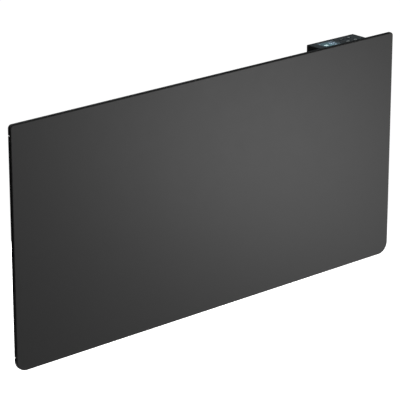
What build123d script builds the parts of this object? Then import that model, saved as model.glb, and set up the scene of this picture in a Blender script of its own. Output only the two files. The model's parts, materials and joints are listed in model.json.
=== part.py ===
"""Infrared panel heater: folded steel front panel, heating film, rear casing, control unit and wall bracket.

The frame is in millimetres: X runs to the right as seen from the front, Y runs from the front to
the wall, and Z runs up. The origin is the centre of the bracket's four wall screws, on the wall.
"""

import os
from math import radians, sin

from build123d import *

# ---------------------------------------------------------------- front panel
panel_width = 812.0
panel_height = 400.0
panel_sheet = 1.2
panel_depth = 6.0
panel_bend_radius = 2.0
panel_top_corner_radius = 6.0
panel_bottom_corner_radius = 20.0
relief_width = 1.4
relief_from_top = 17.0
relief_past_corner = 5.0
relief_land = 2.4

# ---------------------------------------------------------------- rear casing
casing_side_inset = 56.0
casing_top_inset = 22.0
casing_bottom_inset = 30.0
casing_depth = 44.0
casing_sheet = 0.8
casing_bend_radius = 2.5
rim_width = 12.0
rim_corner_radius = 6.0

louvre_length = 70.0
louvre_height = 9.0
louvre_depth = 5.0
louvre_crest = 1.5
louvre_end_slope = 6.0
louvre_pitch = 90.0
louvre_row_pitch = 13.0
louvre_clearance = 1.0
louvre_edge_margin = 24.0
vent_length = 60.0
vent_width = 5.0
vent_pitch = 80.0
vent_edge_margin = 16.0

# ---------------------------------------------------------------- studs and nuts
stud_diameter = 4.0
stud_projection = 6.0
stud_hole_clearance = 0.4
rim_stud_corner_distance = 40.0
rim_stud_pitch = 320.0
nut_across_flats = 7.0
nut_height = 3.2
nut_bore_clearance = 0.05
stud_end_past_nut = 1.0

# ---------------------------------------------------------------- heating film and insulation
film_margin = 10.0
film_sheet = 0.8
track_thickness = 0.4
track_width = 13.0
track_pitch = 26.0
track_end_margin = 14.0
track_side_margin = 6.0
terminal_width = 9.0
terminal_length = 14.0
terminal_sheet = 0.8
terminal_opening_clearance = 1.0
reflector_sheet = 0.5
insulation_margin = 4.0
insulation_thickness = 20.0
clamp_bar_inset = 108.0
clamp_bar_width = 30.0
clamp_bar_crown = 14.0
clamp_bar_depth = 5.0
clamp_bar_sheet = 1.0
clamp_bar_end_margin = 18.0
clamp_stud_end_distance = 22.0

# ---------------------------------------------------------------- thermal cut-out
cutout_below_notch = 80.0
cutout_flange_diameter = 22.0
cutout_flange_sheet = 0.8
cutout_diameter = 16.0
cutout_height = 8.0
cutout_tab_width = 4.8
cutout_tab_sheet = 0.8
cutout_tab_length = 7.0
cutout_tab_spacing = 8.0
cutout_pocket_clearance = 3.0

# ---------------------------------------------------------------- control unit
control_width = 108.5
control_height = 82.0
control_depth = 42.0
control_top_drop = 1.8
control_wall = 2.0
control_corner_radius = 4.0
control_edge_radius = 1.0
control_gap = 0.3
control_stud_inset = 20.0
control_low_stud_height = 8.0
cover_thickness = 2.0
cover_chamfer = 0.8
cover_slot_left = 12.0
cover_slot_bottom = 6.0
cover_slot_length = 20.0
cover_slot_width = 2.4
cover_slot_pitch = 4.8
cover_slot_rows = 5
cover_post_size = 6.5
cover_post_inset = 6.0
cover_post_clearance = 1.25
cover_hole_clearance = 0.2
cover_screw_diameter = 3.0
cover_screw_clearance = 0.05
cover_screw_head_diameter = 5.6
cover_screw_head_height = 1.6
cover_screw_length = 9.0

bezel_thickness = 2.2
bezel_sink = 0.2
bezel_clearance = 0.15
bezel_skirt = 2.0
window_left = 16.5
window_key_gap = 8.5
window_width = 24.0
window_radius = 1.5
lens_step = 0.8
lens_thickness = 1.2
lens_clearance = 0.1
lcd_border = 1.5
lcd_thickness = 4.5
display_board_thickness = 1.6
display_board_clearance = 0.3
board_ledge = 2.5
board_ledge_thickness = 2.0

key_last_right = 23.5
key_pitch_x = 17.0
key_pitch_y = 16.0
key_length = 13.0
key_width = 11.0
key_radius = 1.6
key_clearance = 0.25
key_proud = 0.4
key_flange = 0.6
key_flange_thickness = 1.0
key_travel = 0.8
key_stop_clearance = 0.1
tact_size = 6.0
tact_height = 2.0
tact_plunger_diameter = 3.2

# ---------------------------------------------------------------- power board
power_board_width = 70.0
power_board_height = 50.0
power_board_thickness = 1.6
power_board_left = 11.0
power_board_bottom = 7.0
board_post_height = 6.0
board_post_size = 5.0
board_post_inset = 4.0
relay_width = 19.0
relay_height = 15.0
relay_depth = 15.5
relay_edge = 0.8
relay_right = 54.0
relay_up = 32.0
transformer_width = 24.0
transformer_height = 16.0
transformer_depth = 20.0
transformer_edge = 1.2
transformer_right = 17.0
transformer_up = 35.0
capacitor_diameter = 10.0
capacitor_length = 16.0
capacitor_edge = 0.6
capacitor_right = 36.5
capacitor_up = 33.0
terminal_block_ways = 3
terminal_way_pitch = 10.0
terminal_block_height = 12.0
terminal_block_depth = 11.0
terminal_block_right = 52.0
terminal_block_up = 10.0
terminal_well_size = 4.4
terminal_well_depth = 3.0
sensor_right = 10.0
sensor_up = 10.0
sensor_bead_length = 4.0
sensor_bead_diameter = 3.0
sensor_lead_length = 12.0
sensor_lead_size = 0.6
sensor_lead_spacing = 1.5

# ---------------------------------------------------------------- mains switch
switch_below_top = 30.0
switch_length = 21.0
switch_height = 15.0
switch_lip = 1.5
switch_corner_radius = 1.5
switch_lip_chamfer = 0.5
switch_body_length = 19.0
switch_body_height = 12.9
switch_body_depth = 14.0
switch_wall = 1.1
switch_hole_clearance = 0.1
switch_tab_length = 6.0
switch_tab_width = 4.8
switch_tab_sheet = 0.8
switch_tab_pitch = 5.5
rocker_clearance = 0.3
rocker_tilt = 8.0
rocker_pivot_depth = 3.0
rocker_crown = 3.6
rocker_keel = 3.0
rocker_pin_diameter = 2.4
rocker_pin_clearance = 0.08
rocker_pin_length = 0.9

# ---------------------------------------------------------------- cord gland
gland_above_floor = 23.0
gland_bore_diameter = 7.2
gland_thread_diameter = 16.0
gland_thread_length = 9.0
gland_hex = 20.0
gland_hex_thickness = 5.0
gland_spigot_diameter = 13.6
gland_spigot_length = 3.0
gland_seal_length = 6.5
gland_seal_end_diameter = 9.5
gland_dome_diameter = 18.0
gland_dome_mouth_diameter = 11.5
gland_dome_mouth_bore = 8.6
gland_dome_length = 12.0
gland_dome_shoulder = 6.0
gland_dome_clearance = 0.1
gland_locknut_hex = 20.0
gland_locknut_thickness = 4.0
gland_locknut_clearance = 0.05
gland_hole_clearance = 0.1

# ---------------------------------------------------------------- leads
lead_diameter = 2.6
lead_bend_radius = 6.0
lead_end_radius = 4.0
lead_standoff = 0.5
lead_below_notch = 18.0
lead_beside_notch = 26.0
grommet_clearance = 0.05
grommet_flange_diameter = 8.0
grommet_flange_thickness = 1.2
grommet_neck_diameter = 5.6
grommet_hole_clearance = 0.1

# ---------------------------------------------------------------- wall bracket
bracket_depth = 12.5
upright_spacing = 360.0
upright_overhang = 30.0
upright_sheet = 1.5
upright_web_width = 36.0
upright_foot_width = 11.0
upright_bend_radius = 1.5
rail_spacing = 150.0
rail_overhang = 11.0
rail_height = 32.0
rail_sheet = 2.0
rail_lip_depth = 6.0
rail_lip_clearance = 2.0
rail_end_radius = 6.0
wall_slot_spacing = 260.0
wall_slot_width = 6.0
wall_slot_length = 12.0
hook_spacing = 170.0
hook_width = 12.0
hook_sheet = 2.0
hook_lip_height = 8.0
hook_tip_radius = 0.6
hook_play = 0.5
hook_side_play = 1.0
hook_window_clearance = 1.0
lift_travel = 10.0
lift_clearance = 1.5
hook_plate_width = 46.0
hook_plate_height = 40.0
hook_plate_sheet = 1.5
hook_plate_above_slot = 12.0
pad_thickness = 1.0
pad_diameter = 16.0
pad_from_end = 10.0

# ---------------------------------------------------------------- places worked out from the sizes
panel_bottom_z = -panel_height / 2
panel_top_z = panel_height / 2
casing_back_y = -(bracket_depth + pad_thickness)
panel_back_y = casing_back_y - casing_depth
front_y = panel_back_y - panel_sheet
flange_back_y = front_y + panel_depth
casing_inner_back_y = casing_back_y - casing_sheet

casing_width = panel_width - 2 * casing_side_inset
casing_height = panel_height - casing_bottom_inset - casing_top_inset
casing_bottom_z = panel_bottom_z + casing_bottom_inset
casing_top_z = panel_top_z - casing_top_inset
casing_right_x = casing_width / 2

control_right_x = casing_right_x
control_left_x = control_right_x - control_width
control_centre_x = (control_left_x + control_right_x) / 2
control_top_z = panel_top_z - control_top_drop
control_floor_z = control_top_z - control_height
control_back_y = front_y + control_depth
cover_front_y = control_back_y - cover_thickness
notch_left_x = control_left_x - control_gap
notch_floor_z = control_floor_z - control_gap

bezel_top_z = control_top_z - bezel_sink
bezel_bottom_z = bezel_top_z - bezel_thickness
display_board_top_z = bezel_bottom_z - lcd_thickness
display_board_bottom_z = display_board_top_z - display_board_thickness
ledge_bottom_z = display_board_bottom_z - board_ledge_thickness
upper_post_z = ledge_bottom_z - cover_post_clearance - cover_post_size / 2

power_board_front_y = panel_back_y + control_wall + board_post_height
power_board_back_y = power_board_front_y + power_board_thickness
power_board_left_x = control_left_x + power_board_left
power_board_bottom_z = control_floor_z + power_board_bottom
power_board_mid = (
    power_board_left_x + power_board_width / 2,
    power_board_bottom_z + power_board_height / 2,
)
terminal_block_x = power_board_left_x + terminal_block_right
neutral_x = terminal_block_x - terminal_way_pitch
live_x = terminal_block_x

track_front_y = panel_back_y + film_sheet
track_back_y = track_front_y + track_thickness
film_back_y = track_back_y + film_sheet
reflector_back_y = film_back_y + reflector_sheet
insulation_back_y = reflector_back_y + insulation_thickness

stud_hole_diameter = stud_diameter + stud_hole_clearance
nut_bore_diameter = stud_diameter + 2 * nut_bore_clearance
lead_y = insulation_back_y + clamp_bar_depth + lead_standoff + lead_diameter / 2
grommet_places = [(neutral_x, lead_y), (live_x, lead_y)]

os.makedirs("parts", exist_ok=True)
pieces = []


def upright_plane(y):
    """A sketch plane at depth y that faces the front: its x runs right and its y runs up."""
    return Plane.XZ.offset(-y)


def finish(builder, label):
    """Name a finished piece and keep it for writing."""
    builder.part.label = label
    pieces.append(builder.part)


def spread(start, end, pitch):
    """Evenly spaced places from start to end, both included, no further apart than pitch."""
    steps = max(1, -int(-(end - start) // pitch))
    return [start + (end - start) * i / steps for i in range(steps + 1)]


def centred_row(start, end, length, pitch):
    """Centres of as many things of this length as fit from start to end, centred between them."""
    count = max(1, int((end - start - length) // pitch) + 1)
    middle = (start + end) / 2
    return [middle + (i - (count - 1) / 2) * pitch for i in range(count)]


def inner_top(x, margin):
    """Height of the casing's top, or of the notch's floor below the control unit, less a margin."""
    top = notch_floor_z if x > notch_left_x - margin else casing_top_z
    return top - margin


def casing_outline(inset):
    """Draw the casing's L-shaped outline in the current sketch, this far inside its outer face."""
    with Locations((0, (casing_bottom_z + casing_top_z) / 2)):
        Rectangle(casing_width - 2 * inset, casing_height - 2 * inset)
    with Locations((notch_left_x - inset, notch_floor_z - inset)):
        Rectangle(
            casing_right_x - notch_left_x + inset,
            casing_top_z - notch_floor_z + inset,
            align=(Align.MIN, Align.MIN),
            mode=Mode.SUBTRACT,
        )


# ---------------------------------------------------------------- stud places
rim_line = rim_width / 2
rim_bottom_places = [
    (x, casing_bottom_z - rim_line)
    for x in spread(
        -casing_right_x + rim_stud_corner_distance,
        casing_right_x - rim_stud_corner_distance,
        rim_stud_pitch,
    )
]
rim_top_places = [
    (x, casing_top_z + rim_line)
    for x in spread(
        -casing_right_x + rim_stud_corner_distance,
        notch_left_x - rim_stud_corner_distance,
        rim_stud_pitch,
    )
]
rim_left_places = [
    (-casing_right_x - rim_line, z)
    for z in spread(
        casing_bottom_z + rim_stud_corner_distance,
        casing_top_z - rim_stud_corner_distance,
        rim_stud_pitch,
    )
]
rim_right_places = [
    (casing_right_x + rim_line, z)
    for z in spread(
        casing_bottom_z + rim_stud_corner_distance,
        notch_floor_z - rim_stud_corner_distance,
        rim_stud_pitch,
    )
]
rim_stud_places = rim_bottom_places + rim_top_places + rim_left_places + rim_right_places

# the track's legs are spread evenly, an even number of them, so that both ends come out at the top
outer_leg_x = casing_right_x - film_margin - track_side_margin - track_width / 2
leg_gaps = len(spread(-outer_leg_x, outer_leg_x, track_pitch)) - 1
leg_gaps += 1 - leg_gaps % 2
leg_pitch = 2 * outer_leg_x / leg_gaps
# the clamp bars' studs pass midway between two legs
clamp_bar_x = round((casing_right_x - clamp_bar_inset) / leg_pitch) * leg_pitch
clamp_bar_xs = [-clamp_bar_x, clamp_bar_x]
clamp_bar_bottom_z = casing_bottom_z + clamp_bar_end_margin
clamp_stud_places = []
for bar_x in clamp_bar_xs:
    bar_top_z = inner_top(bar_x + clamp_bar_width / 2, clamp_bar_end_margin)
    clamp_stud_places.append((bar_x, clamp_bar_bottom_z + clamp_stud_end_distance))
    clamp_stud_places.append((bar_x, bar_top_z - clamp_stud_end_distance))
clamp_nut_back_y = insulation_back_y + clamp_bar_depth + nut_height
clamp_stud_projection = clamp_nut_back_y + stud_end_past_nut - panel_back_y

control_stud_places = [
    (control_left_x + control_stud_inset, upper_post_z),
    (control_right_x - control_stud_inset, upper_post_z),
    (power_board_mid[0], control_floor_z + control_low_stud_height),
]


# ================================================================ front panel
def round_panel_outline(sketch, inset):
    """Round the panel's corners: small ones at the top and large ones at the bottom."""
    fillet(sketch.vertices().group_by(Axis.Y)[-1], panel_top_corner_radius - inset)
    fillet(sketch.vertices().group_by(Axis.Y)[0], panel_bottom_corner_radius - inset)


with BuildPart() as panel_hollow:
    with BuildSketch(upright_plane(flange_back_y)) as hollow_outline:
        Rectangle(panel_width - 2 * panel_sheet, panel_height - 2 * panel_sheet)
        round_panel_outline(hollow_outline, panel_sheet)
    extrude(amount=panel_depth - panel_sheet)

with BuildPart() as front_panel:
    with BuildSketch(upright_plane(flange_back_y)) as outer_outline:
        Rectangle(panel_width, panel_height)
        round_panel_outline(outer_outline, 0)
    extrude(amount=panel_depth)
    fillet(front_panel.faces().sort_by(Axis.Y)[0].edges(), panel_bend_radius)
    add(panel_hollow.part, mode=Mode.SUBTRACT)
    # relief cuts, where the folded flange stops short of each corner's own formed edge
    relief_cut_depth = panel_depth - relief_land
    relief_low_z = panel_bottom_z + panel_bottom_corner_radius + relief_past_corner
    relief_high_z = panel_top_z - relief_from_top
    relief_side_x = panel_width / 2 - panel_bottom_corner_radius - relief_past_corner
    with BuildSketch(upright_plane(flange_back_y)):
        with Locations((0, relief_low_z), (0, relief_high_z)):
            with GridLocations(panel_width, 1, 2, 1):
                Rectangle(4 * panel_sheet, relief_width)
        with Locations((0, panel_bottom_z)):
            with GridLocations(2 * relief_side_x, 1, 2, 1):
                Rectangle(relief_width, 4 * panel_sheet)
    extrude(amount=relief_cut_depth, mode=Mode.SUBTRACT)
    # weld studs on the back
    with BuildSketch(upright_plane(panel_back_y)):
        with Locations(*rim_stud_places, *control_stud_places):
            Circle(stud_diameter / 2)
    extrude(amount=-stud_projection)
    with BuildSketch(upright_plane(panel_back_y)):
        with Locations(*clamp_stud_places):
            Circle(stud_diameter / 2)
    extrude(amount=-clamp_stud_projection)
finish(front_panel, "front_panel")


# ================================================================ heating film
def film_layer(label, back_y, thickness, inset, holes):
    """A flat layer in the shape of the casing's inside, cut square round each clamp stud and more."""
    with BuildPart() as layer:
        with BuildSketch(upright_plane(back_y)):
            casing_outline(inset)
            with Locations(*clamp_stud_places):
                Rectangle(stud_hole_diameter, stud_hole_diameter, mode=Mode.SUBTRACT)
            for place, hole in holes:
                with Locations(place):
                    hole()
        extrude(amount=thickness)
    finish(layer, label)


track_bottom_z = casing_bottom_z + film_margin + track_end_margin
track_legs = [
    (leg_x, inner_top(leg_x + leg_pitch / 2, film_margin + track_end_margin))
    for leg_x in spread(-outer_leg_x, outer_leg_x, leg_pitch)
]
terminal_places = [
    (leg_x, leg_top - terminal_length / 2) for leg_x, leg_top in (track_legs[0], track_legs[-1])
]
cutout_place = (live_x, notch_floor_z - cutout_below_notch)

film_layer("film_carrier", track_front_y, film_sheet, film_margin, [])

# one unbroken ribbon that runs down and up the film, with a square turn at each end of a leg
track_route = []
for leg, (leg_x, leg_top) in enumerate(track_legs):
    if leg % 2:
        end_top = min(leg_top, track_legs[leg + 1][1]) if leg + 1 < len(track_legs) else leg_top
        track_route += [(leg_x, track_bottom_z), (leg_x, end_top)]
    else:
        end_top = min(leg_top, track_legs[leg - 1][1]) if leg else leg_top
        track_route += [(leg_x, end_top), (leg_x, track_bottom_z)]
with BuildPart() as heating_track:
    with BuildSketch(upright_plane(track_back_y)):
        with BuildLine():
            Polyline(*track_route)
        trace(line_width=track_width)
    extrude(amount=track_thickness)
finish(heating_track, "heating_track")


def terminal_opening():
    """A window for the terminal tab and its lead."""
    Rectangle(
        terminal_width + 2 * terminal_opening_clearance,
        terminal_length + 2 * terminal_opening_clearance,
        mode=Mode.SUBTRACT,
    )


def cutout_opening():
    """A round pocket for the thermal cut-out and its clip."""
    Circle(cutout_flange_diameter / 2 + cutout_pocket_clearance, mode=Mode.SUBTRACT)


terminal_holes = [(place, terminal_opening) for place in terminal_places]
pocket_holes = terminal_holes + [(cutout_place, cutout_opening)]
film_layer("film_cover", film_back_y, film_sheet, film_margin, terminal_holes)
film_layer("reflector", reflector_back_y, reflector_sheet, film_margin, pocket_holes)
film_layer("insulation_board", insulation_back_y, insulation_thickness, insulation_margin, pocket_holes)

# soldered tabs at the two ends of the ribbon, reached through the cover's windows
with BuildPart() as film_terminals:
    with BuildSketch(upright_plane(track_back_y + terminal_sheet)):
        with Locations(*terminal_places):
            Rectangle(terminal_width, terminal_length)
    extrude(amount=terminal_sheet)
finish(film_terminals, "film_terminals")

# ================================================================ clamp bars and nuts
bars = []
for bar_x in clamp_bar_xs:
    bar_top_z = inner_top(bar_x + clamp_bar_width / 2, clamp_bar_end_margin)
    crown_y = insulation_back_y + clamp_bar_depth
    half_crown = clamp_bar_crown / 2
    half_width = clamp_bar_width / 2
    with BuildPart() as bar:
        with BuildSketch(Plane.XY.offset(clamp_bar_bottom_z)):
            with BuildLine():
                Polyline(
                    (bar_x - half_width, insulation_back_y),
                    (bar_x - half_crown, insulation_back_y),
                    (bar_x - half_crown, crown_y - clamp_bar_sheet),
                    (bar_x + half_crown, crown_y - clamp_bar_sheet),
                    (bar_x + half_crown, insulation_back_y),
                    (bar_x + half_width, insulation_back_y),
                    (bar_x + half_width, insulation_back_y + clamp_bar_sheet),
                    (bar_x + half_crown + clamp_bar_sheet, insulation_back_y + clamp_bar_sheet),
                    (bar_x + half_crown + clamp_bar_sheet, crown_y),
                    (bar_x - half_crown - clamp_bar_sheet, crown_y),
                    (bar_x - half_crown - clamp_bar_sheet, insulation_back_y + clamp_bar_sheet),
                    (bar_x - half_width, insulation_back_y + clamp_bar_sheet),
                    close=True,
                )
            make_face()
        extrude(amount=bar_top_z - clamp_bar_bottom_z)
        with BuildSketch(upright_plane(crown_y + clamp_bar_sheet)):
            with Locations(*[place for place in clamp_stud_places if place[0] == bar_x]):
                Circle(stud_hole_diameter / 2)
        extrude(amount=clamp_bar_depth + clamp_bar_sheet, mode=Mode.SUBTRACT)
    bars.append(bar.part)
with BuildPart() as clamp_bars:
    add(bars)
finish(clamp_bars, "clamp_bars")


def nut_group(label, places, seat_y):
    """Hexagon nuts that sit on a face at depth seat_y."""
    with BuildPart() as nuts:
        with BuildSketch(upright_plane(seat_y + nut_height)):
            with Locations(*places):
                RegularPolygon(nut_across_flats / 2, 6, major_radius=False)
                Circle(nut_bore_diameter / 2, mode=Mode.SUBTRACT)
        extrude(amount=nut_height)
    finish(nuts, label)


nut_group("clamp_nuts", clamp_stud_places, insulation_back_y + clamp_bar_depth)
nut_group("rim_nuts", rim_stud_places, panel_back_y + casing_sheet)
nut_group("control_nuts", control_stud_places, panel_back_y + control_wall)

# ================================================================ rear casing
# a louvre's outer form: it leans back from its crest to the casing, and its lower end is upright
with BuildPart() as louvre_hood:
    Wedge(
        louvre_length,
        louvre_depth,
        louvre_height,
        louvre_end_slope,
        0,
        louvre_length - louvre_end_slope,
        louvre_crest,
        align=(Align.CENTER, Align.MIN, Align.MIN),
    )

with BuildPart() as casing_hollow:
    with BuildSketch(upright_plane(casing_inner_back_y)):
        casing_outline(casing_sheet)
    extrude(amount=casing_depth - casing_sheet)
    fillet(casing_hollow.faces().sort_by(Axis.Y)[-1].edges(), casing_bend_radius - casing_sheet)

upright_end_z = max(hook_spacing, rail_spacing) / 2 + upright_overhang
louvre_low_z = casing_bottom_z + louvre_edge_margin
louvre_high_z = casing_top_z - louvre_edge_margin
low_room = -upright_end_z - lift_travel - louvre_height - louvre_clearance - louvre_low_z
high_room = louvre_high_z - upright_end_z - louvre_clearance
low_rows = int(low_room // louvre_row_pitch) + 1
high_rows = int(high_room // louvre_row_pitch) + 1
louvre_rows_low = [louvre_low_z + row * louvre_row_pitch for row in range(low_rows)]
louvre_rows_high = [louvre_high_z - row * louvre_row_pitch for row in range(high_rows)]
louvre_places = [
    (x, casing_back_y, z)
    for rows, end_x in ((louvre_rows_low, casing_right_x), (louvre_rows_high, notch_left_x))
    for z in rows
    for x in centred_row(
        -casing_right_x + louvre_edge_margin, end_x - louvre_edge_margin, louvre_length, louvre_pitch
    )
]
vent_y = (panel_back_y + casing_sheet + casing_back_y) / 2
vent_top_xs = centred_row(
    -casing_right_x + vent_edge_margin, notch_left_x - vent_edge_margin, vent_length, vent_pitch
)
vent_bottom_xs = centred_row(
    -casing_right_x + vent_edge_margin, casing_right_x - vent_edge_margin, vent_length, vent_pitch
)

hook_places = [
    (x, z) for x in (-upright_spacing / 2, upright_spacing / 2) for z in (-hook_spacing / 2, hook_spacing / 2)
]
hook_slot_width = hook_width + 2 * hook_side_play
hook_slot_height = hook_sheet + lift_travel + lift_clearance


with BuildPart() as rear_casing:
    with BuildSketch(upright_plane(casing_back_y)):
        casing_outline(0)
    extrude(amount=casing_depth)
    fillet(rear_casing.faces().sort_by(Axis.Y)[-1].edges(), casing_bend_radius)
    # the rim that lies on the panel's back; it stops at the control unit's notch
    with BuildSketch(upright_plane(panel_back_y + casing_sheet)):
        with Locations((0, (casing_bottom_z + casing_top_z) / 2)):
            RectangleRounded(casing_width + 2 * rim_width, casing_height + 2 * rim_width, rim_corner_radius)
        with Locations((notch_left_x, notch_floor_z)):
            Rectangle(
                control_width + control_gap + rim_width,
                casing_top_z + rim_width - notch_floor_z,
                align=(Align.MIN, Align.MIN),
                mode=Mode.SUBTRACT,
            )
        with Locations(*rim_stud_places):
            Circle(stud_hole_diameter / 2, mode=Mode.SUBTRACT)
    extrude(amount=casing_sheet)
    add(casing_hollow.part, mode=Mode.SUBTRACT)
    # vents in the top and bottom walls
    for wall_z, vent_xs in ((casing_bottom_z, vent_bottom_xs), (casing_top_z, vent_top_xs)):
        with BuildSketch(Plane.XY.offset(wall_z - 2 * casing_sheet)):
            with Locations(*[(x, vent_y) for x in vent_xs]):
                Rectangle(vent_length, vent_width)
        extrude(amount=4 * casing_sheet, mode=Mode.SUBTRACT)
    # holes in the notch's floor for the two leads' grommets
    with BuildSketch(Plane.XY.offset(notch_floor_z - casing_sheet)):
        with Locations(*grommet_places):
            Circle(grommet_neck_diameter / 2 + grommet_hole_clearance)
    extrude(amount=casing_sheet, mode=Mode.SUBTRACT)
    # louvres pressed out of the back, open downwards: each one's inside is its outside, one sheet deeper
    with Locations(*louvre_places):
        add(louvre_hood.part)
        with Locations((0, -casing_sheet, 0)):
            add(louvre_hood.part, mode=Mode.SUBTRACT)
    # slots for the bracket's hooks
    with BuildSketch(upright_plane(casing_back_y)):
        with Locations(*hook_places):
            Rectangle(hook_slot_width, hook_slot_height, align=(Align.CENTER, Align.MAX))
    extrude(amount=casing_sheet, mode=Mode.SUBTRACT)
finish(rear_casing, "rear_casing")

# reinforcing plates spot-welded inside the casing round the hook slots
with BuildPart() as hook_plates:
    with BuildSketch(upright_plane(casing_inner_back_y)):
        with Locations(*[(x, z + hook_plate_above_slot - hook_plate_height / 2) for x, z in hook_places]):
            Rectangle(hook_plate_width, hook_plate_height)
        with Locations(*hook_places):
            Rectangle(
                hook_slot_width, hook_slot_height, align=(Align.CENTER, Align.MAX), mode=Mode.SUBTRACT
            )
    extrude(amount=hook_plate_sheet)
finish(hook_plates, "hook_plates")

# ================================================================ control unit
step_back_y = flange_back_y + control_gap
step_floor_z = panel_top_z - panel_bend_radius - control_gap
top_pocket_front_y = step_back_y + control_wall
control_mid_y = (panel_back_y + control_wall + cover_front_y) / 2
control_inner_left_x = control_left_x + control_wall
control_inner_right_x = control_right_x - control_wall
display_mid_y = (top_pocket_front_y + cover_front_y) / 2
cover_screw_places = [
    (x, z)
    for x in (control_left_x + cover_post_inset, control_right_x - cover_post_inset)
    for z in (control_floor_z + cover_post_inset, upper_post_z)
]
switch_z = control_top_z - switch_below_top
gland_z = control_floor_z + gland_above_floor


def side_plane(x):
    """A sketch plane at x that faces right: its x runs backwards and its y runs up."""
    return Plane.YZ.offset(x)


def control_outline(inset):
    """Draw the control unit's upright outline in the current sketch."""
    with Locations((control_centre_x, (control_floor_z + control_top_z) / 2)):
        Rectangle(control_width - 2 * inset, control_height - 2 * inset)


with BuildPart() as control_housing:
    with BuildSketch(upright_plane(cover_front_y)) as housing_outline:
        control_outline(0)
        fillet(housing_outline.vertices().group_by(Axis.Y)[0], control_corner_radius)
        fillet(housing_outline.vertices().group_by(Axis.Y)[-1], control_edge_radius)
    extrude(amount=cover_front_y - panel_back_y)
    # a step along the top front edge that clears the panel's folded flange
    with BuildSketch(side_plane(control_left_x)):
        with Locations((panel_back_y, step_floor_z)):
            Rectangle(
                step_back_y - panel_back_y, panel_bend_radius + control_wall, align=(Align.MIN, Align.MIN)
            )
    extrude(amount=control_width, mode=Mode.SUBTRACT)
    # the room for the boards, open to the back, and the display's pocket, open at the top
    with BuildSketch(side_plane(control_inner_left_x)):
        with BuildLine():
            Polyline(
                (panel_back_y + control_wall, control_floor_z + control_wall),
                (cover_front_y, control_floor_z + control_wall),
                (cover_front_y, control_top_z),
                (top_pocket_front_y, control_top_z),
                (top_pocket_front_y, step_floor_z - control_wall),
                (panel_back_y + control_wall, step_floor_z - control_wall),
                close=True,
            )
        make_face()
    extrude(amount=control_width - 2 * control_wall, mode=Mode.SUBTRACT)
    # ledges under the display board
    with BuildSketch(Plane.XY.offset(display_board_bottom_z)):
        with Locations((control_inner_left_x, top_pocket_front_y)):
            Rectangle(board_ledge, cover_front_y - top_pocket_front_y, align=(Align.MIN, Align.MIN))
        with Locations((control_inner_right_x, top_pocket_front_y)):
            Rectangle(board_ledge, cover_front_y - top_pocket_front_y, align=(Align.MAX, Align.MIN))
    extrude(amount=-board_ledge_thickness)
    # posts for the cover's screws and for the power board
    with BuildSketch(upright_plane(cover_front_y)):
        with Locations(*cover_screw_places):
            Rectangle(cover_post_size, cover_post_size)
    extrude(amount=cover_front_y - panel_back_y)
    with BuildSketch(upright_plane(cover_front_y)):
        with Locations(*cover_screw_places):
            Circle(cover_screw_diameter / 2 + cover_screw_clearance)
    extrude(amount=cover_screw_length, mode=Mode.SUBTRACT)
    with BuildSketch(upright_plane(power_board_front_y)):
        with Locations(power_board_mid):
            with GridLocations(
                power_board_width - 2 * board_post_inset, power_board_height - 2 * board_post_inset, 2, 2
            ):
                Rectangle(board_post_size, board_post_size)
    extrude(amount=board_post_height)
    # holes for the panel's studs
    with BuildSketch(upright_plane(panel_back_y + control_wall)):
        with Locations(*control_stud_places):
            Circle(stud_hole_diameter / 2)
    extrude(amount=control_wall, mode=Mode.SUBTRACT)
    # holes in the right wall for the mains switch and the cord gland
    with BuildSketch(side_plane(control_right_x)):
        with Locations((control_mid_y, switch_z)):
            Rectangle(switch_body_length, switch_body_height)
        with Locations((control_mid_y, gland_z)):
            Circle(gland_thread_diameter / 2 + gland_hole_clearance)
    extrude(amount=-control_wall, mode=Mode.SUBTRACT)
    # holes in the floor for the two leads' grommets
    with BuildSketch(Plane.XY.offset(control_floor_z)):
        with Locations(*grommet_places):
            Circle(grommet_neck_diameter / 2 + grommet_hole_clearance)
    extrude(amount=control_wall, mode=Mode.SUBTRACT)
finish(control_housing, "control_housing")

with BuildPart() as control_cover:
    with BuildSketch(upright_plane(control_back_y)) as cover_outline:
        control_outline(0)
        fillet(cover_outline.vertices().group_by(Axis.Y)[0], control_corner_radius)
        fillet(cover_outline.vertices().group_by(Axis.Y)[-1], control_edge_radius)
    extrude(amount=cover_thickness)
    chamfer(control_cover.faces().sort_by(Axis.Y)[-1].edges(), cover_chamfer)
    with BuildSketch(upright_plane(control_back_y)):
        with Locations(*cover_screw_places):
            Circle(cover_screw_diameter / 2 + cover_hole_clearance)
        for row in range(cover_slot_rows):
            slot_z = control_floor_z + cover_slot_bottom + row * cover_slot_pitch
            with Locations((control_left_x + cover_slot_left + cover_slot_length / 2, slot_z)):
                Rectangle(cover_slot_length, cover_slot_width)
    extrude(amount=cover_thickness, mode=Mode.SUBTRACT)
finish(control_cover, "control_cover")

with BuildPart() as cover_screws:
    with BuildSketch(upright_plane(control_back_y + cover_screw_head_height)):
        with Locations(*cover_screw_places):
            Circle(cover_screw_head_diameter / 2)
    extrude(amount=cover_screw_head_height)
    with BuildSketch(upright_plane(control_back_y)):
        with Locations(*cover_screw_places):
            Circle(cover_screw_diameter / 2)
    extrude(amount=cover_screw_length)
finish(cover_screws, "cover_screws")

# ---------------------------------------------------------------- display and keys
bezel_length = control_width - 2 * control_wall - 2 * bezel_clearance
bezel_width = cover_front_y - top_pocket_front_y - 2 * bezel_clearance
key_places = [
    (x, y)
    for y in (display_mid_y - key_pitch_y / 2, display_mid_y + key_pitch_y / 2)
    for x in (control_right_x - key_last_right - key_pitch_x, control_right_x - key_last_right)
]
window_left_x = control_left_x + window_left
window_length = key_places[0][0] - key_length / 2 - window_key_gap - window_left_x
window_place = (window_left_x + window_length / 2, display_mid_y)

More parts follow.
